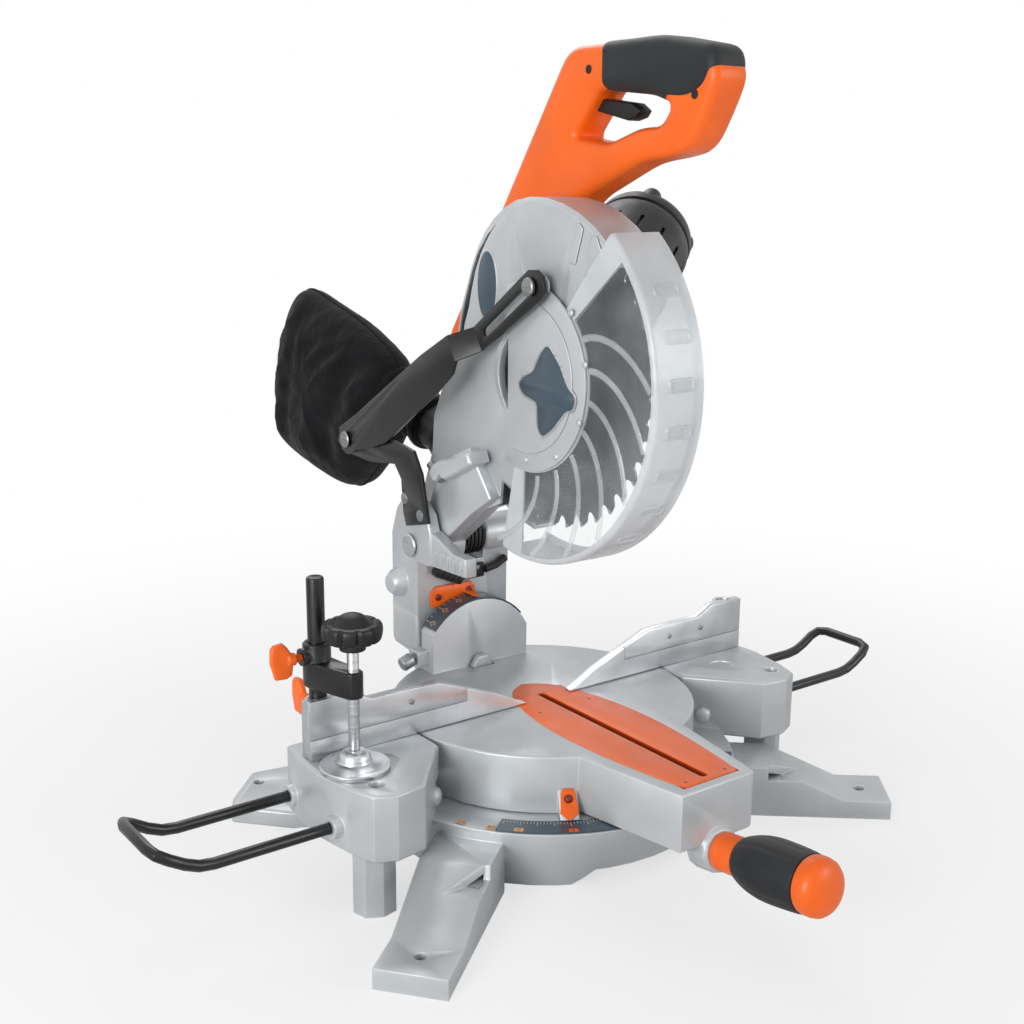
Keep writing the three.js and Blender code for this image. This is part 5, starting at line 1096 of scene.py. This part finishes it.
def bag_rings(outline):
    middle = Vector((sum(p[0] for p in outline), sum(p[1] for p in outline))) / len(outline)
    rings = []
    for i in range(-BAG_LAYERS, BAG_LAYERS + 1):
        turn = i / BAG_LAYERS * math.pi / 2 * BAG_SHELL.reach
        size = math.cos(turn) ** BAG_SHELL.round
        side = math.copysign(abs(math.sin(turn)) ** BAG_SHELL.flat, turn)
        ring = []
        for y, z in outline:
            at_y = middle.x + (y - middle.x) * size
            at_z = middle.y + (z - middle.y) * size
            lift = bag_height(at_y + BAG_SHELL.apart * side, at_z) * (1 - size ** BAG_SHELL.edge)
            depth = BAG_SHELL.half - BAG_TOP.thinner * max(0.0, (at_z - middle.y) / BAG_TOP.over)
            ring.append((side * (depth + lift), at_y, at_z + BAG_SHELL.sag * (1 - size)))
        rings.append(ring)
    return rings


def make_bag():
    outline = smooth_path(spread(BAG_SHARES, **vars(BAG)), 9, closed=True)
    bag = build("dust_bag_cloth", skin(bag_rings(outline)), CLOTH, "head", soft=BAG_SOFT_ANGLE)
    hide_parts("dust_bag")
    seam = [(0.0, *p) for p in outline + outline[:1]]
    build("dust_bag_seam", tube(seam, SEAM_RADIUS, 10), CLOTH, "head")
    where = along(DUCT.origin, DUCT.toward)
    outside = []
    for i in range(NECK.steps + 1):
        share = i / NECK.steps
        radius = NECK.radius + NECK.pleat * abs(math.sin(share * NECK.pleats))
        outside.append((radius + NECK.flare * share ** 3, NECK.start + NECK.long * share))
    inside = [(r - NECK.wall, h) for r, h in reversed(outside)]
    build("dust_bag_neck", lathe(outside + inside, NECK_SIDES, True), CLOTH, "head", where)
    band = [
        (BAND.radius + BAND.half_thick * x, BAND.at + BAND.half_wide * y)
        for x, y in circle(1, BAND.steps)
    ]
    build("dust_bag_band", lathe(band, NECK_SIDES, True), RUBBER, "head", where, slot="black_cloth")


make_bag()

# Dials: marks, boxed numbers and arrows.
MITRE_BOXES = [
    (0, "0", ORANGE), (15, "15", BEIGE_INK), (22.5, "22.5", BEIGE_INK), (31.6, "31.6", BEIGE_INK),
]
BOX = Sizes(start=159.2, end=164.6, half=3.6)
MARKS = Sizes(start=148, short=151.2, long=154, half=0.22, first=-36, last=37, long_each=5)
MITRE_LABEL = Sizes(size=3.6, lift=0.15)
INK = Sizes(lift=0.02, thick=0.1, label=0.05)
BEVEL_MARKS = Sizes(y=114.2, count=9, step=5, half=0.25, short=1.6, long=2.4, long_each=3)
BEVEL_NUMBERS = (-45, -30, -15, 0, 15, 30, 45)
BEVEL_LABEL = Sizes(y=102.2, size=3.2, lift=0.1)
ARROW_Y = 107
ARROW_OUTSIDE = [(0, 4.2, 0), (-3.2, -2.2, 0), (3.2, -2.2, 0)]
ARROW_INSIDE = [(0, 2.4, 0), (-2.0, -1.5, 0), (2.0, -1.5, 0)]
UP = (0, 0, 1)


def label(name, words, where, size, material, body):
    curve = bpy.data.curves.new(name, "FONT")
    curve.body = words
    curve.size = size * MM
    curve.align_x = "CENTER"
    curve.align_y = "CENTER"
    curve.extrude = INK.label * MM
    flat = placed(name, curve)
    flat.data.materials.append(material)
    move = Matrix.Translation(where.to_translation() * MM) @ where.to_3x3().to_4x4()
    flat.matrix_world = move
    bpy.context.view_layer.update()
    mesh = bpy.data.meshes.new_from_object(flat.evaluated_get(bpy.context.evaluated_depsgraph_get()))
    mesh.transform(move)
    bpy.data.objects.remove(flat)
    join(placed(name, mesh), body, material)


def flat_shape(outline, lift):
    """A thin flat shape from its points at the bottom and the direction of its thickness."""
    return skin([outline, [tuple(Vector(p) + Vector(lift) * INK.thick) for p in outline]])


def ring_point(radius, degrees, z):
    turn = math.radians(degrees)
    return radius * math.cos(turn), radius * math.sin(turn), z


def ring_patch(inner, outer, degrees, half):
    """A four-cornered patch on the mitre ring."""
    wide = math.degrees(half / inner)
    corners = ((inner, -wide), (outer, -wide), (outer, wide), (inner, wide))
    return flat_shape([ring_point(r, degrees + turn, RING.top + INK.lift) for r, turn in corners], UP)


def make_mitre_dial():
    marks = []
    for step in range(MARKS.first, MARKS.last + 1):
        outer = MARKS.short if step % MARKS.long_each else MARKS.long
        marks.append(ring_patch(MARKS.start, outer, RING.zero - step, MARKS.half))
    build("mitre_marks", together(marks), WHITE_INK, "base")
    for i, (angle, words, material) in enumerate(MITRE_BOXES):
        degrees = RING.zero - angle
        box = ring_patch(BOX.start, BOX.end, degrees, BOX.half)
        build(f"mitre_box_{i + 1}", box, material, "base", slot="orange_plastic")
        turn = Matrix.Rotation(math.radians(degrees + 90), 4, "Z")
        z = RING.top + INK.lift + MITRE_LABEL.lift
        place = Matrix.Translation(ring_point((BOX.start + BOX.end) / 2, degrees, z)) @ turn
        label(f"mitre_number_{i + 1}", words, place, MITRE_LABEL.size, DARK_INK, "base")


def arch_frame(degrees, y, lift):
    """On the bevel dial: X along the arc, Y to the back, Z out of the face."""
    turn = math.radians(degrees)
    out = Vector((math.sin(turn), 0, math.cos(turn)))
    across = Vector((math.cos(turn), 0, -math.sin(turn)))
    place = out * (ARCH.radius + lift) + Vector((0, y, ARCH.z))
    basis = Matrix((across, Vector((0, 1, 0)), out)).transposed().to_4x4()
    return Matrix.Translation(place) @ basis


def arch_patch(where, corners):
    return flat_shape([tuple(where @ Vector(c)) for c in corners], tuple(where.to_3x3() @ Vector(UP)))


def make_bevel_dial():
    marks = []
    half = BEVEL_MARKS.half
    for step in range(-BEVEL_MARKS.count, BEVEL_MARKS.count + 1):
        where = arch_frame(step * BEVEL_MARKS.step, BEVEL_MARKS.y, INK.lift)
        reach = BEVEL_MARKS.short if step % BEVEL_MARKS.long_each else BEVEL_MARKS.long
        marks.append(arch_patch(where, [(x, y, 0) for x, y in oblong(-half, half, -reach, reach)]))
    build("bevel_marks", together(marks), WHITE_INK, "turntable")
    arrows = []
    for degrees in BEVEL_NUMBERS:
        where = arch_frame(degrees, ARROW_Y, INK.lift)
        for k in range(3):
            n = (k + 1) % 3
            corners = [ARROW_OUTSIDE[k], ARROW_OUTSIDE[n], ARROW_INSIDE[n], ARROW_INSIDE[k]]
            arrows.append(arch_patch(where, corners))
        place = arch_frame(degrees, BEVEL_LABEL.y, BEVEL_LABEL.lift)
        words = str(abs(degrees))
        label(f"bevel_number_{degrees + 45}", words, place, BEVEL_LABEL.size, BEIGE_INK, "turntable")
    build("bevel_arrows", together(arrows), BEIGE_INK, "turntable")


make_mitre_dial()
make_bevel_dial()

# Screws that show, by the direction they face and their radius.
FRONT = (0, -1, 0)
SCREWS = [
    ("kerf_screw", UP, 2.1, "turntable", RED, [
        (27, -31, 104.4), (-27, -31, 104.4), (20.5, -202.5, 104.4), (-20.5, -202.5, 104.4),
    ]),
    ("bevel_pointer_screw", FRONT, 3.3, "tilt_arm", RED, [(-31, 118.4, 169), (3, 118.4, 171)]),
    ("cord_clamp_screw", FRONT, 2.4, "tilt_arm", BOLT, [(12, 117, 191), (2, 117, 185)]),
    ("fence_screw", FRONT, 2.4, "base", BOLT, [(140.4, -9, 134), (180.1, -9, 134.4), (-140.4, -9, 134)]),
]
for screw_name, screw_way, screw_radius, screw_body, screw_material, screw_places in SCREWS:
    for screw_number, screw_place in enumerate(screw_places):
        name = f"{screw_name}_{screw_number + 1}"
        screw(name, screw_place, screw_way, screw_radius, screw_body, screw_material)

# A pale floor that fades to white, a soft white room and three broad lamps, in metres.
FLOOR_HALF = 6
FLOOR_GREY = 0.86
FLOOR_ROUGHNESS = 0.8
FLOOR_FADE = (0.25, 1.1, 0.66, 1.0)
ROOM_STRENGTH = 0.36
LAMP_AIM = (0, 0, 0.25)
LAMPS = [
    ("key_lamp", (-2.1, -0.9, 0.75), 1.0, 34),
    ("fill_lamp", (1.2, -2.0, 0.9), 1.0, 13),
    ("back_lamp", (0.6, 1.6, 2.0), 1.2, 14),
]


def floor_material():
    """Pale paint that, where the camera sees it, glows white more and more with distance."""
    s = Shader("pale_floor", FLOOR_ROUGHNESS)
    paint = s.nodes["Principled BSDF"].outputs[0]
    glow = s.node("ShaderNodeEmission", {"Strength": 1}).outputs[0]
    away = s.node("ShaderNodeVectorMath", {0: s.place}, operation="LENGTH").outputs["Value"]
    fade = s.ramp(away, *FLOOR_FADE, interpolation_type="SMOOTHSTEP")
    seen = s.node("ShaderNodeLightPath").outputs["Is Camera Ray"]
    s.feed(s.blend(s.math("MULTIPLY", seen, fade), paint, glow), s.nodes["Material Output"].inputs[0])
    return s.finish((FLOOR_GREY, FLOOR_GREY, FLOOR_GREY))


def make_floor():
    half = FLOOR_HALF
    mesh = bpy.data.meshes.new("floor")
    mesh.from_pydata([(x, y, 0) for x, y in oblong(-half, half, -half, half)], [], [(0, 1, 2, 3)])
    mesh.materials.append(floor_material())
    floor = placed("floor", mesh)


def make_room():
    """A room that lights softly and is plain white where it is seen, mirrored or seen through."""
    world = bpy.data.worlds.new("room")
    bpy.context.scene.world = world
    world.use_nodes = True
    room = Nodes(world.node_tree)
    plain, white = room.nodes["Background"], room.node("ShaderNodeBackground")
    for background, strength in ((plain, ROOM_STRENGTH), (white, 1)):
        background.inputs["Color"].default_value = (1, 1, 1, 1)
        background.inputs["Strength"].default_value = strength
    path = room.node("ShaderNodeLightPath").outputs
    seen = path["Is Camera Ray"]
    for other in ("Is Glossy Ray", "Is Transmission Ray"):
        seen = room.math("MAXIMUM", seen, path[other])
    mixed = room.blend(seen, plain.outputs[0], white.outputs[0])
    room.feed(mixed, room.nodes["World Output"].inputs[0])


def make_lamps():
    for name, place, size, power in LAMPS:
        data = bpy.data.lights.new(name, "AREA")
        data.size = size
        data.energy = power
        lamp = placed(name, data)
        lamp.location = place
        toward = Vector(LAMP_AIM) - Vector(place)
        lamp.rotation_mode = "QUATERNION"
        lamp.rotation_quaternion = toward.to_track_quat("-Z", "Y")


make_floor()
make_room()
make_lamps()
bpy.context.scene.view_settings.view_transform = "Standard"
